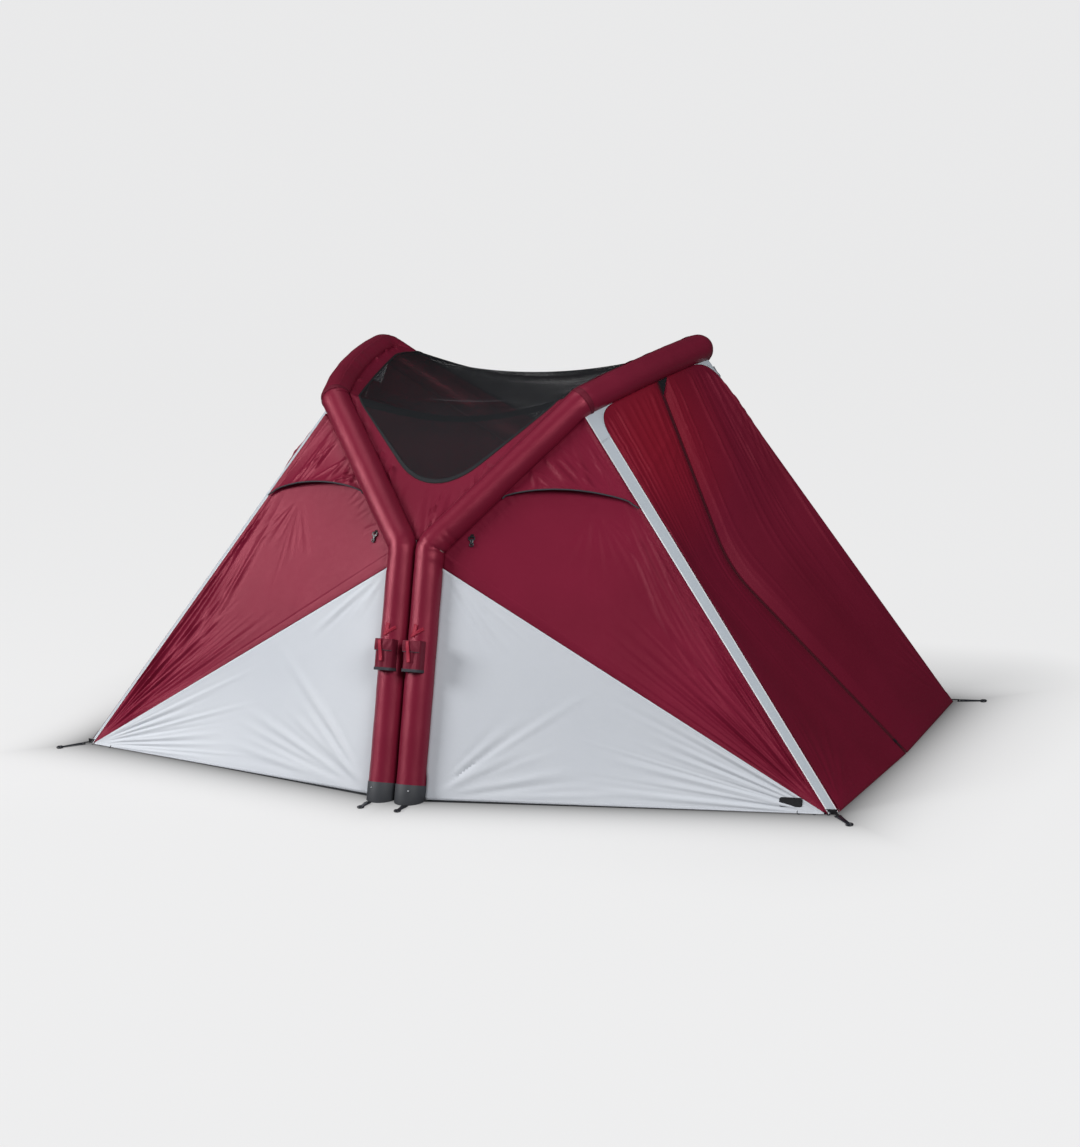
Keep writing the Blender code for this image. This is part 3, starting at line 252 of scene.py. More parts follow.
sweep = bmesh.new()
profile = [(-STUDIO_HALF, 0), (SWEEP_START, 0)]
for a in np.radians(range(10, 91, 10)):
    profile.append((SWEEP_START + SWEEP_RADIUS * math.sin(a), SWEEP_RADIUS - SWEEP_RADIUS * math.cos(a)))
profile.append((SWEEP_START + SWEEP_RADIUS, SWEEP_TOP))
lines = [[sweep.verts.new((x, y, z)) for y, z in profile] for x in (-STUDIO_HALF, STUDIO_HALF)]
for i in range(len(profile) - 1):
    sweep.faces.new((lines[0][i], lines[1][i], lines[1][i + 1], lines[0][i + 1]))
studio_mesh = bpy.data.meshes.new("studio")
sweep.to_mesh(studio_mesh)
studio = bpy.data.objects.new("studio", studio_mesh)
studio.data.materials.append(mix_of_glow("Studio paper"))
for face in studio.data.polygons:
    face.use_smooth = True
studio.rotation_euler = (0, 0, TURN)
bpy.context.scene.collection.objects.link(studio)

world = bpy.data.worlds.new("Studio air")
world.use_nodes = True
air = world.node_tree.nodes["Background"].inputs
air["Color"].default_value, air["Strength"].default_value = AIR_COLOR, AIR_STRENGTH
bpy.context.scene.world = world
bpy.context.scene.view_settings.view_transform = "Standard"
area_lamp("Key lamp", (-6.0, -5.0, 3.9), TENT_MIDDLE, 2.4, 520)
area_lamp("Fill lamp", (6.2, -5.4, 5.0), TENT_MIDDLE, 3.4, 440)
area_lamp("Top lamp", (-1.0, -0.5, 6.5), TENT_MIDDLE, 3.0, 60)
inner_lamp = area_lamp("Inner lamp", (0, -0.45, 1.2), (0, 0.9, 0.45), 0.7, 9, (1, 0.9, 0.9))
inner_lamp.visible_camera = False
print("The studio is built")

# %% [markdown]
# The tent's cloth is a tight plain weave with a satin shine.
# A weave is made of two waves that cross, and the seams are rows of stitches
# that run a few millimetres from each edge of a sheet.
# The sheets carry two UV maps for this, both in metres: one across the cloth,
# and one that runs along the nearest edge and away from it.

# %% Mix the cloth finishes
RED_TINT, NO_TINT, THREAD_HEIGHT, FIRST_ROW = (1.0, 0.25, 0.32), (1, 1, 1), 0.00012, 0.004


def stitch_row(run, gap, line, pitch=0.0042, pause=0.28, half=0.0006):
    """Dashes along the edge, at one distance from it."""
    return run.wave(pitch).above(pause) * (gap - line).math("ABSOLUTE").below(half)


def cloth_finish(name, color, deep, roughness, thread=0.0011, seam=0.011, crumple=1.0, shine=0.45,
                 bright=None, tint=RED_TINT):
    """A woven cloth in two tones mixed at random, with its weave, its crumples and its stitched edges, and
    where asked a painted pool of light.
    """
    cloth = Finish(name, Specular_IOR_Level=shine, Specular_Tint=tint)
    place, u, v = cloth.metres("Cloth")
    _, run, gap = cloth.metres("Edge")
    broad = cloth.noise(1.7, 4)
    fine = cloth.noise(260.0, 2, place)
    dashes = stitch_row(run, gap, FIRST_ROW)
    dashes = dashes.math("MAXIMUM", stitch_row(run, gap, seam))
    folded = gap.below(seam + 0.003)
    shade = (broad - 0.5) * 1.6 + (fine - 0.5) * 0.35 + folded * 0.22
    base = cloth.mix((shade + 0.5).math("MINIMUM", 1.0).math("MAXIMUM", 0.0), color, deep)
    base = cloth.mix(dashes * 0.6, base, tuple(min(1.0, c * 1.5 + 0.01) for c in color))
    # Painted light: close to the spot the colour turns to a lighter one, a painted pool of light.
    if bright:
        spot, reach, lit_color = bright
        base = cloth.mix((1.0 - cloth.away_from(spot) * (1 / reach)).math("MAXIMUM", 0.0), base, lit_color)
    cloth.set("Base Color", base)
    cloth.set("Roughness", fine * 0.12 + broad * 0.08 + (roughness - 0.1))
    weave = (u.wave(thread) * v.wave(thread)) * THREAD_HEIGHT
    small = cloth.noise(34.0, 4, place, 0.6) * (0.0011 * crumple)
    middle = cloth.noise(9.0, 2, place, 0.5) * (0.0022 * crumple)
    cloth.bump(weave + small + middle + folded * 0.0006 - dashes * 0.0005, 1.0, 0.75)
    return cloth.material


BURGUNDY, BURGUNDY_DEEP = (0.18, 0.0085, 0.0315), (0.118, 0.005, 0.0185)
SHELL = cloth_finish("Burgundy shell cloth", BURGUNDY, BURGUNDY_DEEP, 0.43)
# The door cloth carries a painted pool of light high on the right-hand front door.
DOOR = cloth_finish("Burgundy door cloth", (0.17, 0.0078, 0.0285), (0.11, 0.0045, 0.0165), 0.52,
                    bright=((0.95, -0.22, 1.42), 0.55, (0.24, 0.007, 0.018)))
SLEEVE = cloth_finish("Burgundy beam cloth", (0.19, 0.011, 0.034), (0.135, 0.007, 0.022), 0.35,
                      crumple=0.5, shine=0.75)
POUCH = cloth_finish("Burgundy pouch cloth", (0.13, 0.011, 0.026), (0.085, 0.0065, 0.017), 0.55,
                     thread=0.0016, seam=0.008)
SKIRT = cloth_finish("Pale grey cloth", (0.6, 0.622, 0.66), (0.54, 0.565, 0.61), 0.55,
                     crumple=0.6, shine=0.2, tint=NO_TINT)
FLOOR = cloth_finish("Dark floor cloth", (0.03, 0.031, 0.034), (0.02, 0.021, 0.024), 0.6,
                     thread=0.002, shine=0.15, tint=NO_TINT)
print("Mixed the cloths")

# %% [markdown]
# Webbing has thick ribs across it and a flat stitched edge, and it is stiffer than cloth.
# Net is cloth with holes: a fine grid of threads with alpha between them,
# so the inside of the tent shows faintly through the roof.

# %% Mix the webbing, the net and the tapes
RIM_WIDTH, RIB_HEIGHT, CROSS_RIB_HEIGHT = 0.0058, 0.00035, 0.00012


def webbing_finish(name, color, rib=0.0024, roughness=0.7, line=0.005, rim=None):
    """Webbing with ribs across its length, a row of stitches along it, and perhaps a brighter rim."""
    band = Finish(name, Roughness=roughness, Specular_IOR_Level=0.2)
    place, u, v = band.metres("Cloth")
    _, run, gap = band.metres("Edge")
    fine = band.noise(190.0, 2, place)
    stitches = stitch_row(run, gap, line, 0.005, 0.25, 0.0007)
    base = band.mix(fine * 0.5, color, tuple(c * 0.86 for c in color))
    if rim:
        base = band.mix(gap.below(RIM_WIDTH), base, rim)
    band.set("Base Color", band.mix(stitches * 0.75, base, tuple(c * 0.62 for c in color)))
    ribs = v.wave(rib) * RIB_HEIGHT + u.wave(rib * 0.6) * CROSS_RIB_HEIGHT
    band.bump(ribs + band.noise(30.0, 3, place) * 0.0008 - stitches * 0.0006, 1.0, 0.8)
    return band.material


def net_finish(name, color, pitch=0.0017, cover=0.3):
    """A net of crossed threads, see-through between them."""
    net = Finish(name, Roughness=0.75, Specular_IOR_Level=0.15)
    place, u, v = net.metres("Cloth")
    threads = u.wave(pitch).math("MAXIMUM", v.wave(pitch))
    broad = net.noise(3.0, 3)
    net.set("Base Color", net.mix(broad, color, tuple(c * 1.5 for c in color)))
    net.set("Alpha", threads.above(1 - cover))
    net.bump(threads * 0.0003 + net.noise(12.0, 2, place) * 0.0018, 1.0, 0.6)
    return net.material


STRAP = webbing_finish("Pale grey webbing", (0.5, 0.55, 0.6), rim=(0.82, 0.84, 0.87))
TAPE = webbing_finish("Grey tape", (0.05, 0.05, 0.06), 0.0018, 0.65, 0.003)
BINDING = webbing_finish("Dark binding", (0.017, 0.018, 0.021), 0.0018, 0.65, 0.003)
BLACK_TAPE = webbing_finish("Black webbing", (0.014, 0.014, 0.016), 0.0016, 0.6, 0.0025)
ZIP_CLOTH = webbing_finish("Burgundy zip tape", (0.1, 0.0055, 0.0165), 0.0016, 0.6, 0.0025)
ZIP_COIL = webbing_finish("Dark burgundy coil", (0.055, 0.004, 0.01), 0.0016, 0.6, 0.0025)
NET = net_finish("Dark net", (0.0105, 0.0112, 0.0132))
GUSSET_NET = net_finish("Dark net of the zip", (0.01, 0.01, 0.012), 0.0012, 0.7)
print("Mixed the tapes and the net")

# %% [markdown]
# The small hard parts are moulded: matt rubber for the cups that close the beams,
# and black plastic with a faint bluish gloss for the clips and the sliders.
# A fine grain in the bump and a slow change in the roughness keep them from looking flat.

# %% Mix the moulded finishes
def moulded_finish(name, color, roughness, grain, coat=0.0):
    """Moulded plastic or rubber with a fine grain."""
    hard = Finish(name, Coat_Roughness=0.25, Specular_IOR_Level=0.5)
    broad, fine = hard.noise(22.0, 3), hard.noise(grain, 2)
    hard.set("Base Color", hard.mix(broad, color, tuple(c * 1.45 + 0.002 for c in color)))
    hard.set("Roughness", broad * 0.18 + (roughness - 0.09))
    hard.set("Coat Weight", fine * coat)
    hard.bump(fine * 0.00018, 1.0, 0.5)
    return hard.material


CAP = moulded_finish("Charcoal rubber", (0.026, 0.028, 0.033), 0.62, 700.0)
PLASTIC = moulded_finish("Black plastic", (0.007, 0.0085, 0.0125), 0.34, 900.0, 0.2)
BLADDER = moulded_finish("Bladder film", (0.5, 0.5, 0.47), 0.3, 120.0)
VALVE = moulded_finish("White valve plastic", (0.62, 0.62, 0.6), 0.4, 800.0)
STUD = Finish("Bright stud", Metallic=1.0)
STUD.set("Base Color", STUD.mix(STUD.noise(60.0), (0.6, 0.6, 0.62), (0.42, 0.42, 0.45)))
STUD.set("Roughness", STUD.noise(90.0) * 0.2 + 0.22)
STUD = STUD.material
print("Mixed the moulded finishes")

# %% [markdown]
# Everything on this tent hangs from two lines, the axes of its beams.
# Each line has a foot, a bend, a shoulder, a slightly bowed crown, and the same again at the back.
# The right-hand beam is drawn here, and the left-hand one is its mirror image.

# %% Draw the axis of a beam
FRONT, BACK, RIGHT, LEFT = -1, 1, 1, -1
END_NAMES, SIDE_NAMES = {FRONT: "front", BACK: "back"}, {RIGHT: "right", LEFT: "left"}
CORNERS = [(end, side, f"{END_NAMES[end]}_{SIDE_NAMES[side]}") for end in END_NAMES for side in SIDE_NAMES]
UP = Vector((0, 0, 1))
SLEEVE_RADIUS, SLEEVE_LIFT, BEND_RADIUS = 0.061, 0.029, 0.08
SLACK, CAP_SIDES, CAP_WALL = 0.0004, 24, 0.0018
CAP_BORE = (SLEEVE_RADIUS + SLACK) / math.cos(math.pi / CAP_SIDES)
CAP_RADIUS, CAP_FLOOR, CAP_HEIGHT = CAP_BORE + CAP_WALL, 0.006, 0.062
LEG_OFFSET, FOOT_DEPTH, BEND_DEPTH, BEND_HEIGHT = CAP_RADIUS + SLACK, 2.28, 1.66, 0.985
SHOULDERS = {FRONT: Vector((0.585, -0.42, 1.525)), BACK: Vector((0.79, 0.4, 1.644))}
CROWN_BOW = Vector((0.03, 0, 0.02))
CORNER_SPAN, CORNER_DEPTH, HEM_HEIGHT = 3.5, 1.64, 0.006


class Line:
    """A line through points, read by the distance along it."""

    def __init__(self, points):
        self.points = np.array([tuple(point) for point in points], dtype=float)
        steps = np.linalg.norm(np.diff(self.points, axis=0), axis=1)
        self.marks = np.concatenate(([0], np.cumsum(steps)))
        self.length = float(self.marks[-1])

    def at(self, distance):
        return Vector([float(np.interp(distance, self.marks, self.points[:, k])) for k in range(3)])

    def direction(self, distance):
        return (self.at(distance + 0.01) - self.at(distance - 0.01)).normalized()

    def away(self, point):
        """The least distance from a point to the line."""
        start, run = self.points[:-1], np.diff(self.points, axis=0)
        out = np.array(point) - start
        share = np.clip((out * run).sum(1) / (run * run).sum(1), 0, 1)
        return float(np.linalg.norm(out - run * share[:, None], axis=1).min())

    def beside(self, distance, target, offset):
        """A point off the line, square to it and towards the target."""
        point, run = self.at(distance), self.direction(distance)
        out = Vector(target) - point
        out -= run * out.dot(run)
        return point + out.normalized() * offset


def rounded(before, corner, after, radius, steps=12):
    """Points of an arc that rounds a corner."""
    back, ahead = (before - corner).normalized(), (after - corner).normalized()
    half = back.angle(ahead) / 2
    centre = corner + (back + ahead).normalized() * (radius / math.sin(half))
    spoke = corner + back * (radius / math.tan(half)) - centre
    last = corner + ahead * (radius / math.tan(half)) - centre
    axis, turn = spoke.cross(last).normalized(), spoke.angle(last)
    return [centre + Matrix.Rotation(turn * i / steps, 3, axis) @ spoke for i in range(steps + 1)]


HALVINGS = 36


def solve(test, low, high):
    """The value between low and high where the test turns true."""
    for _ in range(HALVINGS):
        middle = (low + high) / 2
        low, high = (low, middle) if test(middle) else (middle, high)
    return high


class Beam(Line):
    """The right-hand beam's axis, read from this end's foot."""

    def __init__(self, end):
        feet = {e: Vector((LEG_OFFSET, e * FOOT_DEPTH / 2, 0)) for e in (FRONT, BACK)}
        bends = {e: Vector((LEG_OFFSET, e * BEND_DEPTH / 2, BEND_HEIGHT)) for e in (FRONT, BACK)}
        crown = []
        for i in range(1, 5):
            level = SHOULDERS[end].lerp(SHOULDERS[-end], i / 5)
            crown.append(level + CROWN_BOW * (4 * i / 5 * (1 - i / 5)))
        corners = [feet[end], bends[end], SHOULDERS[end], *crown]
        corners += [SHOULDERS[-end], bends[-end], feet[-end]]
        points, middles = [], []
        for i, corner in enumerate(corners):
            if i in (1, 2, len(corners) - 3, len(corners) - 2):
                arc = rounded(corners[i - 1], corner, corners[i + 1], BEND_RADIUS)
                middles.append(len(points) + len(arc) // 2)
                points += arc
            else:
                points.append(corner)
        super().__init__(points)
        marks = (float(self.marks[i]) for i in middles)
        self.bend, self.shoulder, self.far_shoulder, self.far_bend = marks
        self.middle = solve(lambda d: -end * self.at(d).y > 0, self.shoulder, self.far_shoulder)


BEAMS = {end: Beam(end) for end in (FRONT, BACK)}
LEG_RUN = Vector((0, (FOOT_DEPTH - BEND_DEPTH) / 2, BEND_HEIGHT)).normalized()
LEG_FACE = Vector((0, -LEG_RUN.z, LEG_RUN.y))
print("A beam is", round(BEAMS[FRONT].length, 2), "m long")

# %% [markdown]
# Cloth is made here as a grid of points that becomes a thin closed sheet.
# The grid gives each sheet its two UV maps in metres, so the weave is the same size everywhere.
# Each sheet works out the size that it was cut to, which is its own size laid flat, and prints it.

# %% Make sheets and tubes from rows of points
RNG, TINY, WELD, SMOOTH_CLOTH = np.random.default_rng, 0.00001, 0.0001, 40
FULL_PATCH, CUT_MARGIN = 0.31, 1.01


def grid_mesh(grid, flat=None, edges="all"):
    """A mesh from an array of points, with its UV maps in metres."""
    n, m = grid.shape[:2]
    down, over = np.zeros((n, m)), np.zeros((n, m))
    down[1:] = np.cumsum(np.linalg.norm(np.diff(grid, axis=0), axis=2), axis=0)
    over[:, 1:] = np.cumsum(np.linalg.norm(np.diff(grid, axis=1), axis=2), axis=1)
    gaps = {"down": [down, down[-1] - down], "over": [over, over[:, -1:] - over]}
    gaps = np.stack(gaps["down"] + gaps["over"] if edges == "all" else gaps[edges] + gaps[edges])
    nearest = gaps.argmin(axis=0)
    run = np.where(nearest < 2, over, down) if edges == "all" else (down if edges == "over" else over)
    cloth = np.stack([over, down], -1) if flat is None else flat
    layers = {"Cloth": cloth, "Edge": np.stack([run, gaps.min(axis=0)], -1)}
    index = np.arange(n * m).reshape(n, m)
    quads = np.stack([index[:-1, :-1], index[:-1, 1:], index[1:, 1:], index[1:, :-1]], -1).reshape(-1, 4)
    mesh = bpy.data.meshes.new("sheet")
    mesh.from_pydata(grid.reshape(-1, 3).tolist(), [], quads.tolist())
    for name, values in layers.items():
        layer = mesh.uv_layers.new(name=name)
        layer.data.foreach_set("uv", values.reshape(-1, 2)[quads.reshape(-1)].astype(np.float32).reshape(-1))
    return mesh


def pick(obj):
    """Makes this the only selected object."""
    bpy.ops.object.select_all(action="DESELECT")
    obj.select_set(True)
    bpy.context.view_layer.objects.active = obj


def merged(mesh, reach, outward=False):
    """The same mesh with its doubles merged, and perhaps its faces turned outwards."""
    build = bmesh.new()
    build.from_mesh(mesh)
    bmesh.ops.remove_doubles(build, verts=build.verts, dist=reach)
    if outward:
        bmesh.ops.recalc_face_normals(build, faces=build.faces)
    build.to_mesh(mesh)
    build.free()
    return mesh


def settle(obj, name, material, slot, body, nodes, smooth):
    """Names a piece, gives it its finish, and makes it ride on its body."""
    obj.name, obj.data.name = name, name
    obj.data.materials.clear()
    obj.data.materials.append(material)
    pick(obj)
    bpy.ops.object.shade_smooth_by_angle(angle=math.radians(smooth))
    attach(obj, body)
    if nodes:
        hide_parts(*nodes)
    return obj


def show(name, mesh, material, slot, body="shell", nodes=(), weld=WELD):
    """A finished piece of cloth from a mesh, with its doubles merged."""
    obj = bpy.data.objects.new(name, merged(mesh, weld))
    bpy.context.scene.collection.objects.link(obj)
    return settle(obj, name, material, slot, body, nodes, SMOOTH_CLOTH)




def cut_size(grid, area):
    """The sides of the cloth a sheet was cut from: a patch, a box round it, or a strip sewn to a ring."""
    cuts = [[float(np.linalg.norm(np.diff(grid, axis=axis), axis=2).sum(axis=axis).max()) for axis in (1, 0)]]
    if area < FULL_PATCH * cuts[0][0] * cuts[0][1]:
        points = grid.reshape(-1, 3) - grid.reshape(-1, 3).mean(axis=0)
        spread = np.ptp(points @ np.linalg.svd(points, full_matrices=False)[2].T, axis=0)
        cuts.append([float(spread[0]) * CUT_MARGIN, float(spread[1]) * CUT_MARGIN])
        if np.allclose(grid[-1, 0], grid[-1, -1]):
            rim = Line(grid[-1])
            cuts.append([rim.length, max(rim.away(point) for point in grid[0])])
    return min(cuts, key=lambda cut: cut[0] * cut[1])


def sheet(name, rows, material, slot, side=RIGHT, thickness=0.0012, body="shell", nodes=(), flat=None,
          edges="all"):
    """A sheet of cloth through a grid of points, which prints the size it was cut to."""
    grid = np.array(rows, dtype=float)
    if side == LEFT:
        grid[..., 0] *= -1
    obj = show(name, grid_mesh(grid, flat, edges), material, slot, body, nodes)
    area = sum(face.area for face in obj.data.polygons)
    cut = cut_size(grid, area)
    pick(obj)
    shell = obj.modifiers.new("Thickness", "SOLIDIFY")
    shell.thickness, shell.offset = thickness, 0
    bpy.ops.object.modifier_apply(modifier=shell.name)
    print(name, "is cut", round(cut[0], 2), "by", round(cut[1], 2), "m")
    return obj


def tube_grid(points, radius, sides, relief=None):
    """Rings round a line. The relief lifts each ring's points by the distance and the angle."""
    points = np.array([tuple(point) for point in points], dtype=float)
    tangent = np.gradient(points, axis=0)
    tangent /= np.linalg.norm(tangent, axis=1)[:, None]
    side_way = np.cross(tangent[0], (0.3, 0.9, 0.1))
    rings, angles = [], np.linspace(0, math.tau, sides + 1)
    marks = np.concatenate(([0], np.cumsum(np.linalg.norm(np.diff(points, axis=0), axis=1))))
    for i, (point, run) in enumerate(zip(points, tangent)):
        side_way = side_way - run * side_way.dot(run)
        side_way /= np.linalg.norm(side_way)
        up_way = np.cross(run, side_way)
        spokes = np.outer(np.cos(angles), side_way) + np.outer(np.sin(angles), up_way)
        lift = relief(marks[i], spokes) if relief else 0
        size = radius[i] if hasattr(radius, "__len__") else radius
        rings.append(point + spokes * (size + np.broadcast_to(lift, len(angles)))[:, None])
    return np.array(rings)


def rope(name, points, radius, material, slot, sides=12, body="shell", side=RIGHT, nodes=()):
    """A closed round strand along points, such as piping or a zip's coil."""
    grid = tube_grid(points, radius, sides)
    ends = [np.repeat(grid[k].mean(axis=0)[None, None], sides + 1, axis=1) for k in (0, -1)]
    grid = np.concatenate([ends[0], grid, ends[1]])
    if side == LEFT:
        grid[..., 0] *= -1
    mesh = merged(grid_mesh(grid, edges="over"), TINY, outward=True)
    return show(name, mesh, material, slot, body, nodes, weld=TINY)


def smoothstep(value, low, high):
    share = np.clip((value - low) / (high - low), 0, 1)
    return share * share * (3 - 2 * share)


def bell(value, width):
    """1 at zero, and less the farther a value lies from it."""
    return np.exp(-((value / width) ** 2))


def hills(flat, folds):
    """The height of folds on flat cloth: each runs from one point to another, widening as it goes."""
    height = np.zeros(flat.shape[:2])
    for ax, ay, bx, by, width, rise in folds:
        out, run = flat - (ax, ay), np.array((bx - ax, by - ay))
        length = np.linalg.norm(run)
        share = (out @ run) / length**2
        off = np.abs(out[..., 0] * run[1] - out[..., 1] * run[0]) / length
        wide = width * (0.55 + 0.9 * np.clip(share, 0, 1))
        ridge = np.exp(-((off / wide) ** 1.6)) - 0.35 * bell(off - 1.9 * wide, wide)
        height += rise * ridge * smoothstep(share, 0, 0.3) * (1 - smoothstep(share, 0.45, 1))
    return height


def fan(centre, start, end, count, near, far, width, rise, seed):
    """Folds that spread from a point, each a bit different from the next."""
    rng, folds = RNG(seed), []
    for i in range(count):
        angle = start + (end - start) * (i + 0.2 + 0.6 * rng.random()) / count
        reach = far * (0.55 + 0.55 * rng.random())
        way = (math.cos(angle), math.sin(angle))
        size = 0.6 + 0.7 * rng.random()
        start_stop = [centre[k] + far_off * way[k] for far_off in (near, reach) for k in (0, 1)]
        folds.append((*start_stop, width * size, rise * size * (1 if rng.random() < 0.7 else -0.6)))
    return folds


def pleats(edge, inward, count, length, width, rise, seed, slant=0.25):
    """Short folds that run from an edge into the cloth."""
    rng, folds, line = RNG(seed), [], Line([(x, y, 0) for x, y in edge])
    for i in range(count):
        start = line.at(line.length * (i + rng.random()) / count)
        way = Vector((inward[0], inward[1], 0)) - start
        way = Matrix.Rotation((rng.random() - 0.5) * 2 * slant, 3, "Z") @ way.normalized()
        stop = start + way * length * (0.5 + rng.random())
        start = start - way * length * 0.3
        size = 0.6 + 0.8 * rng.random()
        folds.append((start.x, start.y, stop.x, stop.y, width * size, rise * size))
    return folds


print("The cloth helpers are ready")

# %% [markdown]
# The sleeves are tight round tubes of satin cloth over an air bladder.
# Air keeps them smooth on a straight run, but cloth gathers into creases at each bend,
# most of all on the inner side, and each bend has a mitre seam across it.
# One stitched seam runs along each tube.

# %% Make the sleeves and the bladders
CREASES_PER_BEND, CREASE_DEPTH, BULGE_RISE, MITRE_DEPTH, MITRE_RISE = 9, 0.0022, 0.0035, 0.0016, 0.0011
BLADDER_END, BLADDER_LIFT, BLADDER_GAP = 0.04, 0.014, 0.004


def axis_points(step=0.008, lift=SLEEVE_LIFT):
    """The beam's axis from just above one cup's floor to the other's."""
    beam = BEAMS[FRONT]
    inset = lift / LEG_RUN.z
    count = round((beam.length - 2 * inset) / step)
    return [beam.at(d) for d in np.linspace(inset, beam.length - inset, count)]


def sleeve_relief(seed):
    """Creases near the bends, mitre seams, and the slow waves of inflated cloth."""
    beam = BEAMS[FRONT]
    stations = [(beam.bend, 1.0), (beam.shoulder, 0.8), (beam.far_shoulder, 0.8), (beam.far_bend, 1.0)]
    inner = {}
    for place, _ in stations:
        turn = beam.direction(place + 0.08) - beam.direction(place - 0.08)
        inner[place] = np.array(turn.normalized())
    rng, creases = RNG(seed), []
    for place, strength in stations:
        for _ in range(CREASES_PER_BEND):
            spot, width = place + (rng.random() - 0.5) * 0.2, 0.007 + 0.006 * rng.random()
            creases.append((spot, width, strength * (0.4 + rng.random()), place))

    def relief(mark, spokes):
        mark = mark + SLEEVE_LIFT / LEG_RUN.z
        lift = np.full(len(spokes), 0.0005 * math.sin(mark * 9 + seed) + 0.0004 * math.sin(mark * 31))
        for place, width, strength, station in creases:
            if abs(mark - place) < 0.08:
                facing = np.clip(spokes @ inner[station] * 0.8 + 0.35, 0, 1)
                skew = mark - place + 0.015 * (spokes @ np.array((0.6, 0.3, 0.7)))
                lift -= CREASE_DEPTH * strength * facing * bell(skew, width)
        for station, strength in stations:
            away = mark - station
            if abs(away) < 0.1:
                facing = np.clip(spokes @ inner[station], 0, 1)
                lift += BULGE_RISE * strength * facing * bell(abs(away) - 0.03, 0.018)
                lift -= MITRE_DEPTH * bell(away, 0.004)
                lift += MITRE_RISE * bell(abs(away) - 0.009, 0.004)
        return lift

    return relief


for side, name in SIDE_NAMES.items():
    rows = tube_grid(axis_points(), SLEEVE_RADIUS - 0.0006, 64, sleeve_relief(3 + side))
    sheet(f"sleeve_cloth_{name}", rows, SLEEVE, "sleeve_cloth", side, edges="over",
          nodes=[f"beam_sleeve_{name}"])
    points = axis_points(0.03, SLEEVE_LIFT + BLADDER_LIFT)
    size = [BLADDER_END] + [SLEEVE_RADIUS - BLADDER_GAP] * (len(points) - 2) + [BLADDER_END]
    rope(f"air_bladder_{name}", points, size, BLADDER, "bladder_film", 32, side=side,
         nodes=[f"bladder_{name}"])

# %% [markdown]
# A corner strap runs from each shoulder to each corner peg, and the walls and doors hang beside it.
# Its frame gives the direction down the strap, the way to the wall, and the strap's own face,
# so the strap, the wall, the door and the clips all take their places from one description.

# %% Find the straps and the walls
STRAP_WIDTH, STRAP_EDGE, WALL_SAG, WALL_FOLD = 0.055, 0.0295, 0.012, 0.006
CLOTH_OFFSET, SEAM_HEIGHT, DOOR_OFFSET = CAP_RADIUS + SLACK, 0.9, SLEEVE_RADIUS + 2 * SLACK


class StrapFrame:
    """Where the right-hand corner strap of one end lies."""

    def __init__(self, end):
        self.end, self.beam = end, BEAMS[end]
        self.top = self.beam.at(self.beam.shoulder)
        self.bottom = Vector((CORNER_SPAN / 2, end * CORNER_DEPTH / 2, 0))
        self.run = (self.bottom - self.top).normalized()
        other = Vector((CORNER_SPAN / 2, -end * CORNER_DEPTH / 2, 0))
        wall = (self.beam.at(self.beam.bend) - self.bottom).cross(self.top - self.bottom).normalized()
        door = (other - self.bottom).cross(self.top - self.bottom).normalized()
        normal = wall * math.copysign(1, wall.y * end) + door * math.copysign(1, door.x)
        self.normal = (normal - self.run * normal.dot(self.run)).normalized()
        across = self.run.cross(self.normal)
        self.to_wall = across * math.copysign(1, across.y * end)

    def at_height(self, across, height):
        start = self.top + self.to_wall * across
        return start + self.run * ((height - start.z) / self.run.z)

    def below_beam(self, across, clearance):
        start = self.top + self.to_wall * across

        def clear(distance):
            return self.beam.away(start + self.run * distance) >= clearance

        return start + self.run * solve(clear, 0, 3 * clearance)


STRAPS = {end: StrapFrame(end) for end in (FRONT, BACK)}


class Wall:
    """The right-hand wall of one end: a cone of straight lines from the corner to the beam."""

    def __init__(self, end):
        self.end, self.beam, self.strap = end, BEAMS[end], STRAPS[end]
        self.corner = self.strap.at_height(STRAP_EDGE, HEM_HEIGHT)
        self.start = solve(self.above_hem, 0, CAP_HEIGHT)
        self.seam = SEAM_HEIGHT / LEG_RUN.z
        self.top = self.strap.below_beam(STRAP_EDGE, CLOTH_OFFSET)
        self.stop = self.beam.shoulder - STRAP_EDGE - BEND_RADIUS / 2

    def above_hem(self, distance):
        return self.beam.beside(distance, self.corner, CLOTH_OFFSET).z >= HEM_HEIGHT

    def ruling(self, panel, share, offset=CLOTH_OFFSET):
        """Where the line at this share of a panel ends."""
        low, high = (self.start, self.seam) if panel == "lower" else (self.seam, self.stop)
        last = 1 if panel == "lower" else 0.95
        end = self.beam.beside(low + (high - low) * min(share / last, 1), self.corner, offset)
        return end if share <= last else end.lerp(self.top, (share - last) / (1 - last))

    def normal(self, panel, share):
        first, second = (self.ruling(panel, min(max(share + step, 0), 1)) for step in (-0.025, 0.025))
        out = (first - self.corner).cross(second - self.corner).normalized()
        return out * math.copysign(1, out.y * self.end)

    def point(self, panel, share, along, folds=0, offset=CLOTH_OFFSET):
        base = self.corner.lerp(self.ruling(panel, share, offset), along)
        swell = math.sin(math.pi * share) * math.sin(math.pi * along)
        wave = math.sin(math.tau * folds * share) * math.sin(math.pi * along)
        return base + self.normal(panel, share) * (WALL_FOLD * wave - WALL_SAG * swell)


WALLS = {end: Wall(end) for end in (FRONT, BACK)}
strap_side = (WALLS[FRONT].top - WALLS[FRONT].corner).length
print("A front wall meets its strap", round(strap_side, 2), "m from its corner")

# %% [markdown]
# Each wall is a burgundy panel above a pale one, joined by a straight seam from the corner to the leg.
# Both are stretched from the peg at the corner, so long folds run beside the strap,
# finer ones spread from the corner, and short pleats gather where the cloth meets the beam.
# The cone of straight lines can be rolled out flat, which gives the cloth's real cut and its weave.

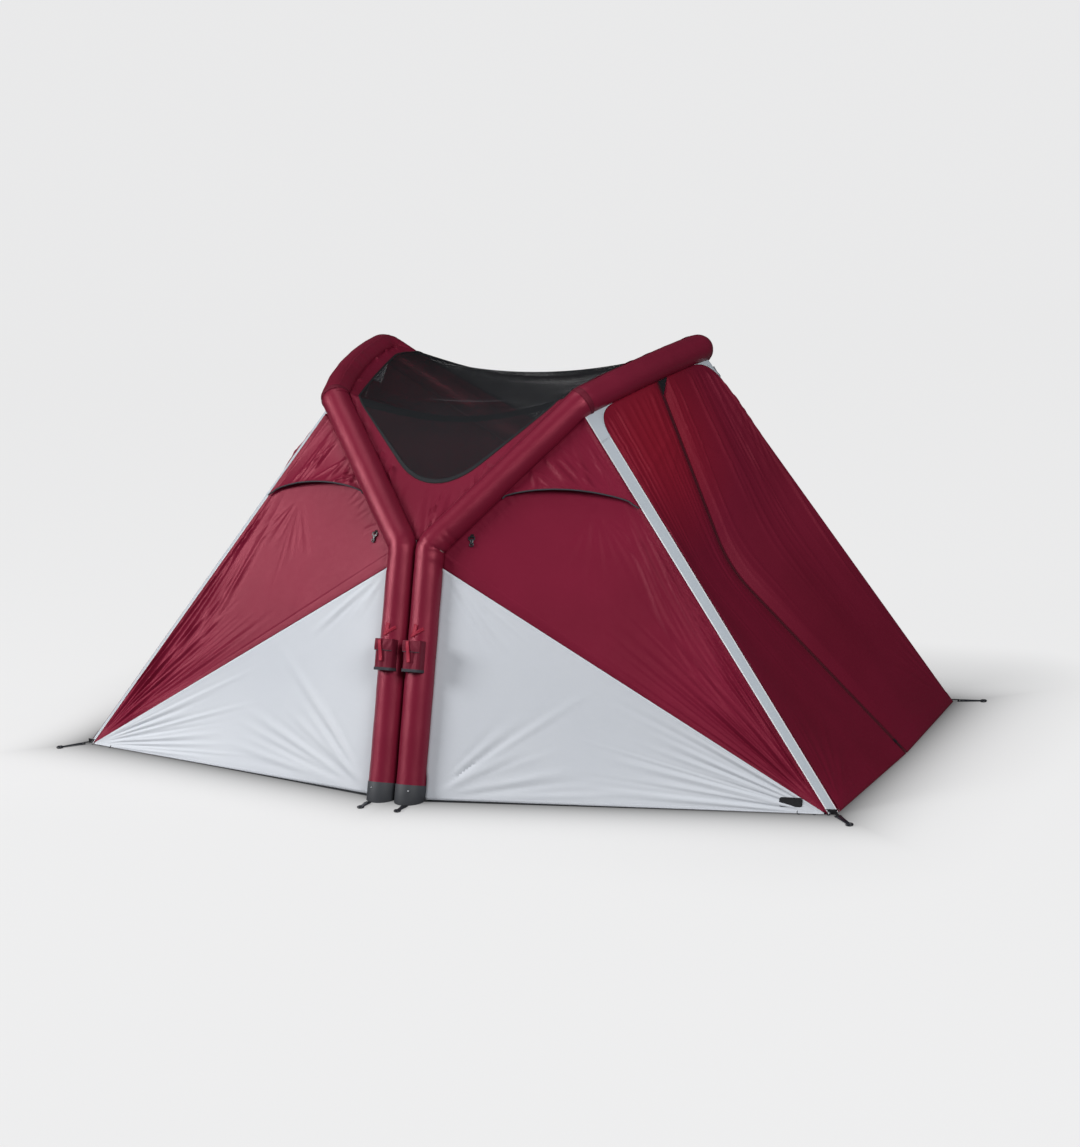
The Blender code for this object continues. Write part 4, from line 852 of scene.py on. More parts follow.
# %% Stretch the walls
LONG_FOLDS, SEAM_TUCK, EDGE_PART = 7, 0.0075, 0.12


def bowed_folds(along, off, folds):
    """Long folds beside an edge that bow away from it in the middle."""
    height = np.zeros(along.shape)
    for start, stop, near, bow, width, rise in folds:
        share = (along - start) / (stop - start)
        line = near + bow * np.sin(np.pi * np.clip(share, 0, 1))
        ridge = np.exp(-(np.abs(off - line) / width) ** 1.5)
        height += rise * ridge * smoothstep(share, 0, 0.2) * (1 - smoothstep(share, 0.7, 1))
    return height


def wall_relief(end, side, panel, flat, turn, lengths, along):
    """The folds of one panel, in metres out of its plane."""
    seed = 10 + 4 * (end > 0) + 2 * (side > 0) + (panel == "lower")
    reach = np.outer(lengths, along)
    rim = flat[:, -1]
    middle = flat[len(flat) // 2, len(along) // 3]
    if panel == "lower":
        folds = fan((0, 0), 0.03, turn[-1] - 0.03, 14, 0.05, 1.0, 0.0075, 0.0034, seed)
        down = math.atan2(-rim[-1][1], -rim[-1][0])
        folds += fan(rim[-1], down - 0.35, down + 0.55, 10, 0.02, 0.5, 0.0085, 0.004, seed + 50)
        folds += fan(rim[0], math.pi - 0.85, math.pi - 0.02, 11, 0.03, 0.85, 0.012, 0.0048, seed + 90)
        folds += pleats(rim, middle, 12, 0.07, 0.006, 0.0016, seed + 130)
        return hills(flat, folds)
    strong = 1.35 if side == LEFT else 1.0
    folds = fan((0, 0), 0.04, turn[-1] - 0.02, 20, 0.06, 1.15, 0.0075, 0.0046 * strong, seed)
    folds += pleats(rim, middle, 26, 0.075, 0.0062, 0.0028 * strong, seed + 20)
    apex = flat[round(len(flat) * 0.78), round(len(along) * 0.83)]
    down = math.atan2(-apex[1], -apex[0])
    folds += fan(apex, down - 0.3, down + 1.2, 8, 0.03, 0.42, 0.009, 0.0017 * strong, seed + 40)
    strap_way = np.array((math.cos(turn[-1]), math.sin(turn[-1])))
    beside = flat @ strap_way
    off = flat @ np.array((strap_way[1], -strap_way[0]))
    rng, long_folds = RNG(seed + 60), []
    for k in range(LONG_FOLDS):
        start, stop = 0.1 + 0.12 * rng.random(), 1.35 + 0.3 * rng.random()
        rise = (0.0098 - 0.0009 * k) * strong * (0.8 + 0.4 * rng.random())
        long_folds.append((start, stop, 0.006 + 0.009 * k, 0.014 + 0.016 * k, 0.0055 + 0.0016 * k, rise))
    height = hills(flat, folds) + bowed_folds(beside, off, long_folds)
    return height * smoothstep(reach, 0, 0.15)


def make_wall(end, side, name, panel, count, across):
    """One panel of a wall, from its corner to the beam and a little under its sleeve."""
    wall = WALLS[end]
    shares, along = np.linspace(0, 1, count), np.linspace(0.006, 1, across)
    ends = np.array([wall.ruling(panel, share) for share in shares])
    corner = np.array(wall.corner)
    arms = ends - corner
    lengths = np.linalg.norm(arms, axis=1)
    unit = arms / lengths[:, None]
    lengths = lengths + SEAM_TUCK * (smoothstep(shares, 0.08, 0.14) if panel == "lower" else 1)
    arms = unit * lengths[:, None]
    ends = corner + arms
    turn = np.concatenate(([0], np.cumsum(np.arccos(np.clip((unit[1:] * unit[:-1]).sum(1), -1, 1)))))
    reach = np.outer(lengths, along)
    flat = np.stack([reach * np.cos(turn)[:, None], reach * np.sin(turn)[:, None]], -1)
    normals = np.cross(np.gradient(ends, axis=0), arms)
    normals *= (np.sign(normals[:, 1]) * end / np.linalg.norm(normals, axis=1))[:, None]
    swell = np.outer(np.sin(np.pi * shares), np.sin(np.pi * along))
    height = wall_relief(end, side, panel, flat, turn, lengths, along) - WALL_SAG * swell
    hold_along = np.minimum(1, 24 * (1 - along))
    hold_across = np.minimum(1, np.minimum(shares, 1 - shares) * 14)
    height = height * (EDGE_PART + (1 - EDGE_PART) * (hold_along[None, :] * hold_across[:, None]))
    grid = corner + arms[:, None] * along[None, :, None] + normals[:, None] * height[..., None]
    finish, slot = (SKIRT, "skirt_cloth") if panel == "lower" else (SHELL, "shell_cloth")
    sheet(f"wall_cloth_{panel}_{name}", grid, finish, slot, side, nodes=[f"wall_{panel}_{name}"], flat=flat)


for corner in CORNERS:
    make_wall(*corner, "lower", 80, 130)
    make_wall(*corner, "upper", 130, 150)

# %% [markdown]
# A vent hood is a flap of the same cloth, sewn along the beam and free at its curved lower edge.
# A dark piping cord stiffens that edge and throws a shadow on the wall below it.
# The cloth between the two is slack, so zigzag wrinkles run across it.

# %% Make the hoods
HOOD_STANDOFF, HOOD_RISE, HOOD_START, HOOD_DROP, HOOD_POWER = 0.0095, 0.026, 0.47, 0.238, 1.2
HOOD_OFFSET = math.sqrt((SLEEVE_RADIUS + SLACK) ** 2 - HOOD_STANDOFF**2)
HOOD_WAVES, HOOD_WAVE_RISE, PIPING_RADIUS, PIPING_LIFT = 28, 0.0032, 0.0033, 0.0005


def make_hood(end, side, name):
    """One hood and the piping along its lower edge."""
    wall, rows, lip, waves = WALLS[end], [], [], []
    across_steps, out_steps = 110, 40
    rng = RNG(31 + 2 * (end > 0) + (side > 0))
    strong = 1.9 if side == LEFT else 1.6
    for _ in range(HOOD_WAVES):
        centre, wide, skew = rng.random(), 0.010 + 0.012 * rng.random(), (rng.random() - 0.5) * 0.28
        waves.append((centre, wide, skew, HOOD_WAVE_RISE * strong * (0.5 + rng.random())))
    for i in range(across_steps + 1):
        across = i / across_steps
        share = HOOD_START + (1 - HOOD_START) * across
        drop = max(HOOD_DROP * across**HOOD_POWER, HOOD_DROP / 70)
        normal, row = wall.normal("upper", share), []
        rim = wall.ruling("upper", share, HOOD_OFFSET)
        for k in range(out_steps + 1):
            out = k / out_steps
            rise = HOOD_STANDOFF + HOOD_RISE * math.sin(math.pi * across) * out**2
            place = across * 0.9 + 0.05
            fold = sum(size * math.exp(-((place + skew * (out - 0.5) - centre) / wide) ** 2)
                       for centre, wide, skew, size in waves)
            fold *= math.sin(math.pi * min(across * 1.02, 1)) * math.sin(math.pi * min(out * 0.92 + 0.04, 1))
            base = wall.corner.lerp(rim, 1 - drop * out)
            swell = WALL_SAG * math.sin(math.pi * share) * math.sin(math.pi * (1 - drop * out))
            row.append(base + normal * (rise - swell + fold))
        rows.append(row)
        lip.append(row[-1] + normal * PIPING_LIFT)
    cord = rope(f"hood_piping_{name}", lip, PIPING_RADIUS, TAPE, "tape", 10, side=side)
    sheet(f"hood_cloth_{name}", rows, SHELL, "shell_cloth", side, nodes=[f"vent_hood_{name}"])


for corner in CORNERS:
    make_hood(*corner)

# %% [markdown]
# An end door is two flaps that meet at a zip in the middle.
# Its top follows the flare of the strap and then the beam, its foot is a straight hem,
# and its inner edge is the zip, which bends at the knee where the cloth is tight.
# The patch between the four edges is filled by the usual blend of opposite edges.
# Fine vertical creases hang from the top, and others spread from the corners.

# %% Draw the zip and the flares
ZIP_GAP, ZIP_TAPE, GUSSET_WIDTH, GUSSET_DROP = 0.0076, 0.02, 0.05, 0.07
FLARE_LENGTH, FLARE_REACH, FLARE_GAP, HEM_REACH = 0.125, 0.14, 0.0018, 1.79
KNEE, KNEE_RADIUS = Vector((1.03, 0, 0.76)), 0.6


def zip_line():
    """The zip in the middle plane, from the beam down to the hem."""
    beam = BEAMS[FRONT]
    top = beam.beside(beam.middle, KNEE, DOOR_OFFSET)
    top.y = 0
    bottom = Vector((HEM_REACH, 0, HEM_HEIGHT))
    return Line([top, *rounded(top, KNEE, bottom, KNEE_RADIUS, 24), bottom])


ZIP = zip_line()


def flare(end, across, gap, t):
    """A point of the curved edge from the strap's side up to the beam."""
    strap = STRAPS[end]
    head = strap.below_beam(across, DOOR_OFFSET)
    foot, pull = head + strap.run * (FLARE_LENGTH + gap), head + strap.run * gap
    tip = strap.beam.beside(strap.beam.shoulder + FLARE_REACH + gap, ZIP.at(ZIP.length), DOOR_OFFSET)
    return foot * (1 - t) ** 2 + pull * (2 * t * (1 - t)) + tip * t**2


def door_top(end):
    """The door's upper edge as a function of its share from the hinge to the zip."""
    beam = BEAMS[end]
    start = beam.shoulder + FLARE_REACH + FLARE_GAP
    stop = solve(lambda d: end * beam.at(d).y < GUSSET_WIDTH, start, beam.far_shoulder)
    inner = ZIP.at(0 if end == FRONT else GUSSET_DROP) + Vector((0, end * ZIP_TAPE, 0))
    last = beam.beside(stop, ZIP.at(ZIP.length), DOOR_OFFSET)

    def top(u):
        if u <= 5 / 9:
            return flare(end, -STRAP_EDGE, FLARE_GAP, u * 9 / 5)
        if u <= 8 / 9:
            return beam.beside(start + (stop - start) * (u * 9 - 5) / 3, ZIP.at(ZIP.length), DOOR_OFFSET)
        return last.lerp(inner, u * 9 - 8)

    return top


# %% Hang the doors
LONG_CREASES, HEM_PUCKERS, CREASE_SHARE, HEM_RISE = 34, 26, 0.72, 0.0016
CREASE_FANS = ((0, 1, -1.45, -0.12, 13), (0, 0.05, 0.2, 1.3, 9), (1, 0.1, 1.9, 2.9, 5))


def door_folds(u, v, end, side):
    """Creases in metres: u runs from the hinge to the zip, v from the top to the hem."""
    rng = RNG(70 + 2 * (end > 0) + (side > 0))
    height = 0.0045 * np.sin(math.tau * 2 * u) * np.sin(math.pi * v)
    for k in range(LONG_CREASES):
        start, lean = 0.06 + 0.9 * rng.random(), (rng.random() - 0.5) * 0.08
        width = 0.006 + 0.011 * rng.random()
        length, size = 0.15 + 0.75 * rng.random() ** 1.3, 0.0022 + 0.0036 * rng.random()
        line = start + lean * v * 2 + 0.01 * np.sin(v * 14 + k)
        fade = 1 - smoothstep(v, 0.4 * length, length)
        height += size * bell(u - line, width) * fade * smoothstep(v, 0, 0.03)
    for cu, cv, low, high, count in CREASE_FANS:
        for k in range(count):
            angle = low + (high - low) * (k + rng.random() * 0.8) / count
            du, dv = (u - cu) * 0.8, (v - cv) * 1.9
            along = du * math.cos(angle) + dv * math.sin(angle)
            off = -du * math.sin(angle) + dv * math.cos(angle)
            reach, size = 0.25 + 0.45 * rng.random(), 0.0025 + 0.0032 * rng.random()
            ridge = bell(off, 0.006 + 0.03 * np.clip(along, 0, 1))
            fade = 1 - smoothstep(along, 0.4 * reach, reach)
            height += size * ridge * smoothstep(along, 0.01, 0.07) * fade
    for _ in range(HEM_PUCKERS):
        place, width = rng.random(), 0.004 + 0.008 * rng.random()
        height += 0.0014 * (rng.random() + 0.3) * bell(u - place, width) * bell(v - 1, 0.03)
    edge = np.minimum(np.minimum(u * 22, (1 - u) * 6), np.minimum(v, 1 - v) * 30 + 0.12)
    return CREASE_SHARE * height * np.clip(edge, 0, 1) + HEM_RISE * smoothstep(v, 0.966, 0.971)


def make_door(end, side, name, columns=150, rows=180):
    """One flap, a smooth patch with a flat tape along the zip."""
    strap, top = STRAPS[end], door_top(end)
    foot, start = strap.at_height(-STRAP_EDGE, HEM_HEIGHT), 0 if end == FRONT else GUSSET_DROP
    tape, hem_end = np.array((0, end * ZIP_TAPE, 0)), np.array(ZIP.at(ZIP.length))
    us, vs = np.linspace(0, 1, columns + 1), np.linspace(0, 1, rows + 1)
    upper = np.array([top(u) for u in us])
    seam = np.array([ZIP.at(start + (ZIP.length - start) * v) for v in vs])
    u, v = us[None, :, None], vs[:, None, None]
    hinge = upper[0] * (1 - v) + np.array(foot) * v
    hem = np.array(foot) * (1 - u) + (hem_end + tape) * u
    grid = upper[None] * (1 - v) + hem * v + hinge * (1 - u) + (seam[:, None] + tape) * u
    grid = grid - (upper[0] * (1 - u) + upper[-1] * u) * (1 - v) - hem * v
    out = np.array((foot - top(0)).cross(ZIP.at(ZIP.length) - top(0)).normalized())
    out *= math.copysign(1, out[0])
    grid = grid + out * door_folds(us[None, :], vs[:, None], end, side)[..., None]
    tape_cells = [seam[:, None] + tape * share for share in (0.75, 0.5, 0.3, ZIP_GAP / 2 / ZIP_TAPE)]
    grid = np.concatenate([grid, *tape_cells], axis=1)
    sheet(f"door_cloth_{name}", grid, DOOR, "shell_cloth", side, body=f"door_{name}", nodes=[f"door_{name}"])


for corner in CORNERS:
    make_door(*corner)

# %% [markdown]
# A zip is two rows of nylon coil on burgundy tape. The coil here is one long strand
# with small ribs, wide enough to fill the gap between the flaps.
# It belongs to the front flap, as does the slider, so both go with it when the door opens.

# %% Make the zips and their gussets
COIL_PITCH, COIL_RADIUS, COIL_RIB, ZIP_END = 0.002, 0.0028, 0.0006, 0.004
TAPE_LIFT, TAPE_LINES = 0.0012, (0.0034, 0.0095, 0.0155)


def make_zip(side, name):
    """The coil, its two tapes and the gusset above them."""
    beam = BEAMS[BACK]
    marks = np.arange(ZIP_END, ZIP.length - ZIP_END, COIL_PITCH)
    points = np.array([ZIP.at(mark) for mark in marks])
    ribs = COIL_RADIUS + COIL_RIB * (np.arange(len(marks)) % 2)
    rope(f"zip_coil_{name}", points, ribs, ZIP_COIL, "tape", 8, body=f"door_front_{name}", side=side)
    for end, end_name in END_NAMES.items():
        rows = []
        for mark in np.linspace(COIL_PITCH if end == FRONT else GUSSET_DROP, ZIP.length - COIL_PITCH, 150):
            run = ZIP.direction(mark)
            lift = Vector((-run.z, 0, run.x))
            lift *= TAPE_LIFT * math.copysign(1, lift.x)
            rows.append([ZIP.at(mark) + lift + Vector((0, end * y, 0)) for y in TAPE_LINES])
        sheet(f"zip_tape_{end_name}_{name}", rows, ZIP_CLOTH, "tape", side, thickness=0.0008,
              body=f"door_{end_name}_{name}", edges="over")
    stop = solve(lambda d: beam.at(d).y < GUSSET_WIDTH - 0.002, beam.shoulder, beam.middle)
    wide, low = beam.beside(stop, ZIP.at(ZIP.length), DOOR_OFFSET), ZIP.at(GUSSET_DROP - ZIP_END)
    edge, rows = Vector((0, ZIP_GAP / 2, 0)), []
    for i in range(19):
        left, right = (ZIP.at(0) + edge).lerp(low + edge, i / 18), wide.lerp(low + edge, i / 18)
        rows.append([left.lerp(right, k / 12) for k in range(13)])
    sheet(f"gusset_net_{name}", rows, GUSSET_NET, "net", side, thickness=0.001, nodes=[f"zip_gusset_{name}"])


for side, name in SIDE_NAMES.items():
    make_zip(side, name)

# %% [markdown]
# The corner straps are flat webbing that carries the load from the beams to the pegs.
# Each flares into a curved patch at the top, where it is sewn along the beam and the door,
# and narrows towards its foot. A strip of shell cloth lies behind it and shows at its sides.

# %% Make the straps
STRAP_FOOT, STRAP_SHEET, STRAP_CROWN, BACKING_HALF, BACKING_DROP = 0.043, 0.0018, 0.0006, 0.0288, 0.0018
FLARE_ROWS, STRAP_ROWS, STRAP_CELLS, RIM_CELLS = 40, 120, 12, 8


def make_backing(end, side, name):
    """The strip of shell cloth behind a strap."""
    strap, rows, edges = STRAPS[end], [], (BACKING_HALF, -BACKING_HALF)
    tops = [strap.below_beam(across, DOOR_OFFSET) + strap.run * FLARE_LENGTH for across in edges]
    feet = [strap.at_height(across, HEM_HEIGHT) for across in edges]
    for share in np.linspace(0, 1, 60):
        left, right = (top.lerp(foot, share) - strap.normal * BACKING_DROP for top, foot in zip(tops, feet))
        rows.append([left.lerp(right, k / 6) for k in range(7)])
    sheet(f"strap_backing_{name}", rows, SHELL, "shell_cloth", side, thickness=0.001, edges="over")


def make_strap(end, side, name):
    """The webbing of one strap and the curved flare at its top."""
    strap, half, rows = STRAPS[end], STRAP_WIDTH / 2, []
    tops = [strap.below_beam(across, DOOR_OFFSET) for across in (half, -half)]
    feet = [strap.at_height(across, HEM_HEIGHT) for across in (STRAP_FOOT / 2, -STRAP_FOOT / 2)]
    cells = range(STRAP_CELLS + 1)
    crown = [strap.normal * (STRAP_CROWN * math.sin(math.pi * k / STRAP_CELLS)) for k in cells]
    for i in range(FLARE_ROWS + STRAP_ROWS + 1):
        if i <= FLARE_ROWS:
            share = 1 - i / FLARE_ROWS
            outer, inner = (top + strap.run * (FLARE_LENGTH * (1 - share)) for top in tops)
            rim = flare(end, -half, 0, share)
        else:
            share, drop = (i - FLARE_ROWS) / STRAP_ROWS, strap.run * FLARE_LENGTH
            outer, inner = ((top + drop).lerp(foot, share) for top, foot in zip(tops, feet))
            rim = inner
        row = [outer.lerp(inner, k / STRAP_CELLS) + crown[k] for k in cells]
        row += [inner.lerp(rim, k / RIM_CELLS) for k in range(1, RIM_CELLS + 1)]
        rows.append([tuple(point) for point in row])
    rows = np.array(rows)
    sheet(f"strap_webbing_{name}", rows[FLARE_ROWS:, :STRAP_CELLS + 1], STRAP, "strap_webbing", side,
          thickness=STRAP_SHEET, nodes=[f"corner_strap_{name}"], edges="over")
    sheet(f"strap_flare_{name}", rows[:FLARE_ROWS + 1], STRAP, "strap_webbing", side,
          thickness=STRAP_SHEET, edges="over")


for corner in CORNERS:
    make_strap(*corner)
    make_backing(*corner)

# %% [markdown]
# The roof is a saddle: high along the beams, and sagging between them.
# A burgundy border runs along the beams, a window of dark net fills the middle,
# and a dark binding covers the seam between the two.
# All three are drawn as rings round the roof's middle, on one shared surface,
# so they meet exactly. Two bands below the net tie the beams together.

# %% Describe the roof's surface
ROOF_SAG, ROOF_TIP, WINDOW_BORDER, WINDOW_TIP, WINDOW_CORNER = 0.095, 0.012, 0.042, 0.12, 0.14
ROOF_EASE, ROOF_EASE_REACH, WINDOW_TIP_RADIUS, WINDOW_BACK_CORNER, BINDING_HALF = 0.12, 0.3, 0.35, 0.2, 0.0052


def roof_edge(distance, offset=DOOR_OFFSET):
    """A point of the roof's edge beside the right-hand beam."""
    point = BEAMS[FRONT].at(distance)
    return BEAMS[FRONT].beside(distance, Vector((point.x - 1, point.y, point.z)), offset)


def roof_border_line():
    beam = BEAMS[FRONT]
    start = solve(lambda d: roof_edge(d).x > ROOF_TIP, beam.bend, beam.shoulder)
    stop = solve(lambda d: roof_edge(d).x < ROOF_TIP, beam.far_shoulder, beam.far_bend)
    return np.array([tuple(roof_edge(d)) for d in np.linspace(start, stop, 240)])


ROOF_LINE = roof_border_line()
ROOF_REACH = ROOF_LINE[:, 0].max()
ROOF_RUN = np.concatenate(([0], np.cumsum(np.linalg.norm(np.diff(ROOF_LINE[:, 1:], axis=0), axis=1))))


def roof_height(x, y):
    """The height of the saddle above a place on the ground. It rounds off the bends of the beams."""
    reach, top = (np.interp(y, ROOF_LINE[:, 1], ROOF_LINE[:, k]) for k in (0, 2))
    share = np.clip(np.abs(x) / reach, 0, 1)
    nearby = [np.interp(y + ROOF_EASE * k / 8, ROOF_LINE[:, 1], ROOF_LINE[:, 2]) for k in range(-8, 9)]
    ease = (np.mean(nearby, axis=0) - top) * np.minimum(reach / ROOF_EASE_REACH, 1)
    return top - ROOF_SAG * (reach / ROOF_REACH) ** 2 * (1 - share**2) + ease * (1 - share**2) ** 2


def window_outline(grow=0.0):
    """The window's rounded outline seen from above, anticlockwise from its front tip."""
    inset = SLEEVE_RADIUS + WINDOW_BORDER - grow
    front = Vector((SHOULDERS[FRONT].x - inset, SHOULDERS[FRONT].y + WINDOW_BORDER / 4, 0))
    back = Vector((SHOULDERS[BACK].x - inset, SHOULDERS[BACK].y - WINDOW_BORDER / 4, 0))
    tips = [Vector((0, end * (BEND_DEPTH / 2 - WINDOW_TIP + 2 * grow), 0)) for end in (FRONT, BACK)]
    flip = Matrix.Diagonal((-1, 1, 1))
    corners = [tips[0], front, back, tips[1], flip @ back, flip @ front]
    points = []
    for i, corner in enumerate(corners):
        radius = WINDOW_TIP_RADIUS if corner.x == 0 else WINDOW_CORNER if corner.y < 0 else WINDOW_BACK_CORNER
        points += rounded(corners[i - 1], corner, corners[(i + 1) % 6], radius + grow)
    return np.array([(p.x, p.y) for p in points])


def reach_along(outline, angles):
    """How far a closed outline lies from the middle in each direction."""
    loop, shares = np.concatenate([outline, outline[:1]]), np.linspace(0, 1, 40)[:-1, None]
    fine = np.concatenate([a + (b - a) * shares for a, b in zip(loop, loop[1:])])
    turn = np.mod(np.arctan2(fine[:, 1], fine[:, 0]), math.tau)
    order = np.argsort(turn)
    return np.interp(np.mod(angles, math.tau), turn[order], np.hypot(*fine[order].T), period=math.tau)


def even_turns(plan, count):
    """The directions from the middle to points that lie evenly along a closed outline."""
    loop = np.concatenate([plan, plan[:1]])
    marks = np.concatenate(([0], np.cumsum(np.hypot(*np.diff(loop, axis=0).T))))
    even = np.linspace(0, marks[-1], count)
    return np.arctan2(np.interp(even, marks, loop[:, 1]), np.interp(even, marks, loop[:, 0]))


ROOF_PLAN = np.concatenate([ROOF_LINE[:, :2], ROOF_LINE[::-1, :2] * (-1, 1)])
ROOF_TURNS = even_turns(ROOF_PLAN, 421)
print("The roof reaches", round(ROOF_REACH, 2), "m from its middle")


# %% Make the roof, its window and its bands
ROOF_PLEATS, NET_LAP, BINDING_LIFT, BAND_WIDTH, BAND_END, BAND_DROP = 96, 0.004, 0.0024, 0.035, 0.002, 0.0045


def roof_rings(inner, outer, count, lift=0.0, relief=None):
    """Rings of the roof between two reaches from its middle."""
    share = np.linspace(0, 1, count)[:, None]
    reach = inner * (1 - share) + outer * share
    x, y = reach * np.cos(ROOF_TURNS), reach * np.sin(ROOF_TURNS)
    z = roof_height(x, y) + lift
    if relief is not None:
        z = z + relief(x, y, share * np.ones_like(x))
    flat = np.stack([x, np.interp(y, ROOF_LINE[:, 1], ROOF_RUN)], -1)
    return np.stack([x, y, z], -1), flat


def border_relief(x, y, share):
    """Pleats that run in from the beams, and slack folds in the front and back corners."""
    rng, height = RNG(5), np.zeros(x.shape)
    run = np.linspace(0, 1, x.shape[1])[None, :]
    for _ in range(ROOF_PLEATS):
        place, width, lean = rng.random(), 0.0012 + 0.0022 * rng.random(), (rng.random() - 0.5) * 0.02
        size, reach = 0.0026 + 0.004 * rng.random(), 0.6 + 0.4 * rng.random()
        gap = np.abs(((run + lean * (1 - share)) - place + 0.5) % 1 - 0.5)
        height += size * bell(gap, width) * smoothstep(share, 1 - reach, 1 - 0.3 * reach)
    height *= 1 + 0.9 * smoothstep(-y, 0.35, 0.7)
    return height * smoothstep(share, 0, 0.15) * (1 - smoothstep(share, 0.93, 1.0) * 0.8)


outer = reach_along(ROOF_PLAN, ROOF_TURNS)
outline = {grow: reach_along(window_outline(grow), ROOF_TURNS) for grow in (-BINDING_HALF, 0.0, BINDING_HALF)}
grid, flat = roof_rings(outline[0.0], outer, 60, relief=border_relief)
sheet("roof_cloth", grid, SHELL, "shell_cloth", flat=flat, edges="down", nodes=["roof_border"])
grid, flat = roof_rings(outline[0.0] * 0, outline[0.0] + NET_LAP, 60)
sheet("roof_window", grid, NET, "net", flat=flat, thickness=0.0006, edges="down", nodes=["roof_net"])
grid = roof_rings(outline[-BINDING_HALF], outline[BINDING_HALF], 7, lift=BINDING_LIFT)[0]
sheet("window_binding", grid, BINDING, "tape", edges="down", nodes=["roof_binding"])
for end, end_name in END_NAMES.items():
    centre = BEAMS[end].at(BEAMS[end].shoulder).y
    rows = []
    for x in np.linspace(-1, 1, 120):
        row = []
        for k in range(9):
            y = centre + BAND_WIDTH * (k / 8 - 0.5)
            reach = np.interp(y, ROOF_LINE[:, 1], ROOF_LINE[:, 0]) - BAND_END
            row.append((x * reach, y, float(roof_height(x * reach, y)) - BAND_DROP))
        rows.append(row)
    sheet(f"spreader_webbing_{end_name}", rows, BLACK_TAPE, "tape", nodes=[f"spreader_band_{end_name}"],
          edges="over")

# %% [markdown]
# The floor is a dark waterproof cloth that reaches the corner straps and is cut round the feet.
# It lies on the ground, so only slight waves cross it.

# %% Lay the floor
FLOOR_INSET, FLOOR_NOTCH = 0.003, 0.08


def make_floor():
    """The floor between the corner straps, with a notch for each pair of feet."""
    side = LEG_OFFSET + CAP_RADIUS + SLACK
    foot, notch = FOOT_DEPTH / 2 - FLOOR_INSET, FOOT_DEPTH / 2 - FLOOR_NOTCH
    corner = STRAPS[FRONT].at_height(0, HEM_HEIGHT)
    plain = np.linspace(side + 0.001, corner.x, 110)
    xs = np.concatenate([-plain[::-1], np.linspace(-side, side, 17), plain])
    rows, rng = [], RNG(8)
    waves = [(rng.random() * 6, rng.random() * 9 - 4.5, rng.random() * 6) for _ in range(8)]
    for x in xs:
        slope = (abs(corner.y) - foot) * (abs(x) - side) / (corner.x - side)
        reach = notch if abs(x) <= side else foot + slope
        row = []
        for share in np.linspace(-1, 1, 70):
            y = reach * share
            swell = sum(math.sin(a * x + b * y + c) for a, b, c in waves) / 8
            row.append((x, y, 0.0015 + 0.004 * max(0.0, swell) * (1 - share**8)))
        rows.append(row)
    sheet("floor_cloth", rows, FLOOR, "floor_cloth", nodes=["groundsheet"], thickness=0.0016)


make_floor()

# %% [markdown]
# The crown of each beam has a lap on its inner side, where the roof is sewn to the sleeve.
# The lap is a strip bent round the tube, with small puckers along its seam.
# At the front shoulders a darker band covers the mitre seam.

# %% Sew the laps and the mitre bands
LAP_END, LAP_ANGLES, LAP_RADIUS, LAP_PUCKER = 0.02, (8, 66), SLEEVE_RADIUS + 0.0012, 0.0022
MITRE_HALF, MITRE_ANGLES, MITRE_RADIUS = 0.008, (0, 360), SLEEVE_RADIUS + 0.003


def strip_round_beam(start, stop, low, high, radius, pucker, rows, columns):
    """A strip on the beam's surface between two angles, measured from the inner side upwards."""
    beam, out = BEAMS[FRONT], []
    rng = RNG(17)
    phases = [(rng.random() * 6, 20 + 60 * rng.random()) for _ in range(6)]
    for distance in np.linspace(start, stop, rows):
        run, point = beam.direction(distance), beam.at(distance)
        inwards = (roof_edge(distance) - point).normalized()
        upward = inwards.cross(run)
        upward *= math.copysign(1, upward.z)
        row = []
        for k in range(columns):
            share = k / (columns - 1)
            angle = math.radians(low + (high - low) * share)
            wave = sum(math.sin(p + f * distance) for p, f in phases) / 6
            lift = radius + pucker * max(0.0, wave) * (0.4 + 0.6 * share) * 2
            row.append(point + (inwards * math.cos(angle) + upward * math.sin(angle)) * lift)
        out.append(row)
    return out


near, far = BEAMS[FRONT].shoulder, BEAMS[FRONT].far_shoulder
for side, name in SIDE_NAMES.items():
    rows = strip_round_beam(near - LAP_END, far + LAP_END, *LAP_ANGLES, LAP_RADIUS, LAP_PUCKER, 260, 15)
    sheet(f"crown_lap_{name}", rows, SLEEVE, "sleeve_cloth", side, edges="over")
    rows = strip_round_beam(near - MITRE_HALF, near + MITRE_HALF, *MITRE_ANGLES, MITRE_RADIUS, 0, 7, 65)
    sheet(f"mitre_band_{name}", rows, POUCH, "sleeve_cloth", side, thickness=0.001, edges="down")

# %% [markdown]
# Each beam stands in a rubber cup that is flat on the ground.
# It is a cylinder along the leg, cut level with the ground, with a bore for the beam,
# which a Boolean takes out before a Bevel rounds the edges. A bright stud sits on its outer side.

# %% Mould the foot cups
POST_DROP, STUD_HEIGHT, STUD_RADIUS, STUD_TURN = 0.1, 0.04, 0.0042, (0.34, 0.94)


def solid(add, **settings):
    """A simple solid with its place and turn applied, as the only selected object."""
    bpy.ops.object.select_all(action="DESELECT")
    add(**settings)
    bpy.ops.object.transform_apply(location=True, rotation=True, scale=True)
    return bpy.context.object


